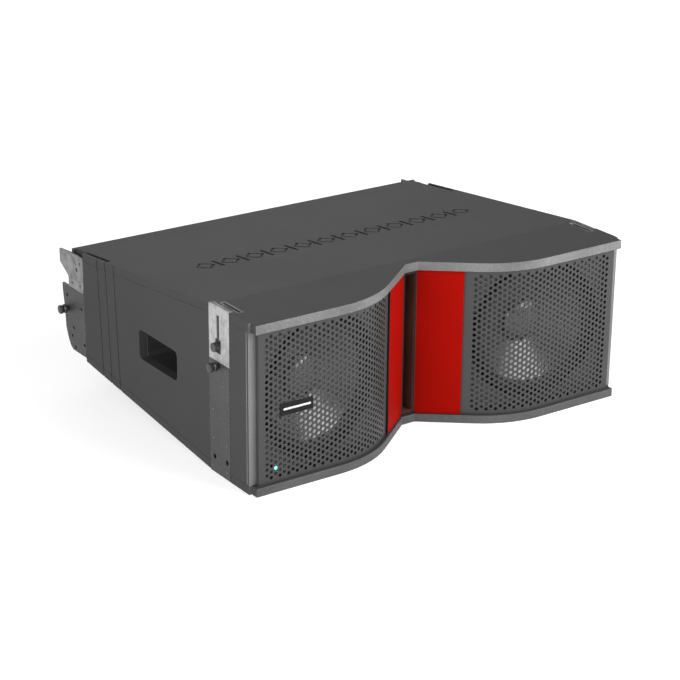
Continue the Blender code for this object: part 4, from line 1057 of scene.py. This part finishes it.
def make_lock_pin(node, side):
    """Quick-release pin: steel shaft with a turned, waisted knob."""
    low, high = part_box(node)
    near, far = sorted((abs(low.x), abs(high.x)))
    tip, length = HALF_WIDTH - near, far - HALF_WIDTH - KNOB_START
    radius = (high.y - low.y) / 2
    axis = at(SIDES[side] * HALF_WIDTH, (low.y + high.y) / 2, (low.z + high.z) / 2, outward(side))
    profile = [(0, -tip), (PIN_SHAFT - 0.001, -tip), (PIN_SHAFT, 0.001 - tip), (PIN_SHAFT, KNOB_START),
               *((radius * wide, KNOB_START + length * along) for wide, along in KNOB)]
    turned(node + "_turned", profile, axis, "black_plastic", BODY_OF[node], (node,), segments=40)


def countersunk_screw(bm, matrix, radius):
    """A flush screw head with a rounded crown and a cross recess."""
    revolve(bm, [(0, -0.0004), (radius, -0.0004), (radius, 0.0001), (radius * 0.8, 0.0005),
                 (radius * 0.34, 0.0007), (radius * 0.30, 0.0001), (0, 0.0)], matrix, 20)


def make_rig_screws(side):
    """Screws that hold the front rail and the rear plate to the cabinet."""
    bm = bmesh.new()
    low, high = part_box(f"front_rail_{side}")
    holes = [(low.y + 0.010, low.z + 0.012, 0.0022)]
    holes += [(y, low.z + rise, 0.0022) for rise in (0.060, 0.110) for y in (low.y + 0.010, high.y - 0.010)]
    low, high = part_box(f"rear_rig_plate_{side}")
    holes += [(low.y + 0.010, low.z + 0.012, 0.0028), (low.y + 0.040, low.z + 0.010, 0.0028),
              (low.y + 0.010, high.z - 0.012, 0.0028)]
    for y, z, radius in holes:
        countersunk_screw(bm, at(SIDES[side] * HALF_WIDTH, y, z, outward(side)), radius)
    finish_piece(f"rigging_screws_{side}", bm, "dark_steel")


# ---------------------------------------------------------------- back of the amplifier

PLATE_LOW, PLATE_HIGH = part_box("amp_plate")
PLATE_FACE = PLATE_HIGH.y
POWER_SOCKETS = ("power_inlet", "power_outlet")
SIGNAL_SOCKETS = ("signal_inlet", "signal_outlet")


def on_plate(x, z):
    """Frame on the amplifier's plate whose Z looks back."""
    return at(x, PLATE_FACE, z, BACKWARD)


def make_plate_screws():
    """Screws of the amplifier's plate and of its sockets."""
    bm = bmesh.new()
    ends = (PLATE_LOW.x + 0.007, PLATE_HIGH.x - 0.007)
    places = [(x, z) for x in (ends[0], -0.055, 0.055, ends[1])
              for z in (PLATE_LOW.z + 0.006, PLATE_HIGH.z - 0.006)]
    for x, z in places + [(x, MIDDLE) for x in ends]:
        countersunk_screw(bm, on_plate(x, z), 0.0030)
    for socket in POWER_SOCKETS + SIGNAL_SOCKETS:
        soften(socket)
        low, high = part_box(socket)
        for x, z in ((low.x + 0.0035, high.z - 0.0035), (high.x - 0.0035, low.z + 0.0035)):
            countersunk_screw(bm, at(x, high.y, z, BACKWARD), 0.0019)
    finish_piece("amplifier_screws", bm, "dark_steel")


def make_contacts():
    """Three round contacts on the floor of each socket."""
    bm = bmesh.new()
    for socket in POWER_SOCKETS + SIGNAL_SOCKETS:
        reach = 0.0050 if socket in POWER_SOCKETS else 0.0042
        middle, back = centre_of(socket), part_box(socket)[1].y
        for contact in range(3):
            angle = math.radians(90 + 120 * contact)
            spot = at(middle.x + reach * math.cos(angle), back - 0.0074,
                      middle.z + reach * math.sin(angle), BACKWARD)
            revolve(bm, [(0, 0), (0.0011, 0), (0.0011, 0.0042), (0.0007, 0.0048), (0, 0.0048)], spot, 16)
    finish_piece("socket_contacts", bm, "bright_steel")


def make_level_knob():
    """Fluted knob with a pale pointer, and the scale round it."""
    low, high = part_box("level_knob")
    middle, radius = (low + high) / 2, (high.x - low.x) / 2
    axis = on_plate(middle.x, middle.z)
    length = high.y - PLATE_FACE
    inside = low.y - PLATE_FACE
    profile = [(0, inside), (0.003, inside), (0.003, 0.0010), (radius, 0.0010), (radius, 0.0030),
               (radius * 0.86, 0.0042), (radius * 0.80, length - 0.0010), (radius * 0.72, length),
               (0, length)]
    bm = bmesh.new()
    revolve(bm, profile, axis, 48)
    for flute in range(16):
        turn = Matrix.Rotation(math.tau * flute / 16, 4, "Z")
        spot = axis @ turn @ Matrix.Translation((radius * 0.84, 0, 0.0045))
        prism(bm, [(-0.0008, -0.0006), (0.0004, -0.0006), (0.0004, 0.0006), (-0.0008, 0.0006)], 0,
              length - 0.0065, spot)
    finish_piece("fluted_level_knob", bm, "black_plastic", "level_knob", ("level_knob",))
    pointer = rounded_rectangle(0.0012, 0.0052, 0.0005, 3, (0, 0.0040))
    slab("level_knob_pointer", pointer, length - 0.0003, length + 0.0002, axis, MARK_WHITE, "level_knob")

    bm = bmesh.new()
    for tick in range(11):
        spot = axis @ Matrix.Rotation(math.radians(-150 + 30 * tick), 4, "Z")
        prism(bm, rounded_rectangle(0.0007, 0.0022, 0.0003, 2, (0, radius + 0.0030)), -0.0001, 0.0002, spot)
    finish_piece("level_scale", bm, MARK_WHITE)


def make_switch_and_window():
    """Rocker with its bezel, a small dark window and three lamps."""
    soften("power_switch")
    low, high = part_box("power_switch")
    middle = (low + high) / 2
    width, height = high.x - low.x + 0.0045, high.z - low.z + 0.0045
    outer = rounded_rectangle(width, height, 0.0015, 4)
    inner = rounded_rectangle(width - 0.0026, height - 0.0026, 0.0008, 4)
    bm = bmesh.new()
    ring_prism(bm, outer, inner, 0.0, 0.0010, on_plate(middle.x, middle.z), 0.0002)
    finish_piece("switch_bezel", bm, "black_plastic")

    window = rounded_rectangle(0.026, 0.013, 0.0015, 4)
    slab("meter_window", window, -0.0002, 0.0008, on_plate(0.070, middle.z), WINDOW_GLASS, edge=0.0003)
    bm = bmesh.new()
    for lamp in (-1, 0, 1):
        spot = on_plate(0.135, middle.z + 0.009 * lamp)
        revolve(bm, [(0, -0.0004), (0.0016, -0.0004), (0.0016, 0.0004), (0.0011, 0.0011), (0, 0.0014)],
                spot, 20)
    finish_piece("signal_lamps", bm, WINDOW_GLASS)


# ---------------------------------------------------------------- stage

def make_stage():
    """Pale floor, white surroundings and three soft lights."""
    bm = bmesh.new()
    bmesh.ops.create_grid(bm, x_segments=1, y_segments=1, size=12)
    floor = loose_object("studio_floor", as_mesh("studio_floor", bm))
    material, tree = start_material("pale_studio_floor", Roughness=0.9, Emission_Strength=1.0)
    where = object_place(tree)
    away = add(tree, "ShaderNodeVectorMath", {"operation": "LENGTH"}, _0=where).outputs["Value"]
    glow = remap(tree, away, 1.0, 4.0, FLOOR_GLOW_NEAR, FLOOR_GLOW_FAR)
    paint = blend_colour(tree, noise(tree, where, 2.0), (0.49, 0.49, 0.49, 1), (0.52, 0.52, 0.52, 1))
    feed(tree, tree.nodes["Principled BSDF"].inputs, Base_Color=paint, Emission_Color=grey_level(tree, glow))
    floor.data.materials.append(material)
    floor.location.z = -0.0005

    world = bpy.data.worlds.new("white_studio")
    world.use_nodes = True
    tree = world.node_tree
    tree.nodes.clear()
    seen = add(tree, "ShaderNodeLightPath").outputs["Is Camera Ray"]
    ray = add(tree, "ShaderNodeTexCoord").outputs["Generated"]
    rise = add(tree, "ShaderNodeSeparateXYZ", Vector=ray).outputs["Z"]
    sky = remap(tree, rise, 0.0, 0.9, HORIZON_LIGHT, ZENITH_LIGHT)
    ambient = add(tree, "ShaderNodeBackground", Color=(1, 1, 1, 1), Strength=sky).outputs[0]
    backdrop = add(tree, "ShaderNodeBackground", Color=(1, 1, 1, 1), Strength=BACKDROP_LIGHT).outputs[0]
    mixed = add(tree, "ShaderNodeMixShader", Fac=seen, _1=ambient, _2=backdrop).outputs[0]
    end = add(tree, "ShaderNodeOutputWorld")
    tree.links.new(mixed, end.inputs["Surface"])
    bpy.context.scene.world = world

    target = Vector((0, 0, 0.12))
    for name, direction, distance, size, power in LIGHTS:
        lamp = bpy.data.lights.new(name, "AREA")
        lamp.shape = "RECTANGLE"
        lamp.size, lamp.size_y = size
        lamp.energy = power
        light = bpy.data.objects.new(name, lamp)
        bpy.context.scene.collection.objects.link(light)
        toward = Vector(direction).normalized()
        light.location = target + toward * distance
        light.rotation_mode = "QUATERNION"
        light.rotation_quaternion = (-toward).to_track_quat("-Z", "Y")


def make_camera():
    """Camera at the speaker's front left corner, looking a little down."""
    azimuth, elevation, roll = CAMERA_AZIMUTH, CAMERA_ELEVATION, CAMERA_ROLL
    back = Vector((math.sin(azimuth) * math.cos(elevation), -math.cos(azimuth) * math.cos(elevation),
                   math.sin(elevation)))
    right = Vector((math.cos(azimuth), math.sin(azimuth), 0))
    up = back.cross(right)
    turned_right = math.cos(roll) * right + math.sin(roll) * up
    turned_up = -math.sin(roll) * right + math.cos(roll) * up
    lens = bpy.data.cameras.new("studio_camera")
    lens.lens = CAMERA_LENS
    lens.sensor_width = 36
    lens.shift_x = CAMERA_SHIFT
    lens.clip_end = 60
    camera = bpy.data.objects.new("studio_camera", lens)
    bpy.context.scene.collection.objects.link(camera)
    matrix = Matrix((turned_right, turned_up, back)).transposed().to_4x4()
    matrix.translation = CAMERA_PLACE
    camera.matrix_world = matrix
    bpy.context.scene.camera = camera


make_camera()
make_stage()
make_panels()
for side in SIDES:
    make_grille(side)
    make_woofer(side)
    make_lock_pin(f"front_lock_pin_{side}", side)
    make_lock_pin(f"rear_lock_pin_{side}", side)
    make_rig_screws(side)
    make_slot_liner(side)
make_badge()
make_plate_screws()
make_contacts()
make_level_knob()
make_switch_and_window()
make_hidden_parts()
bpy.context.scene.view_settings.view_transform = "Standard"
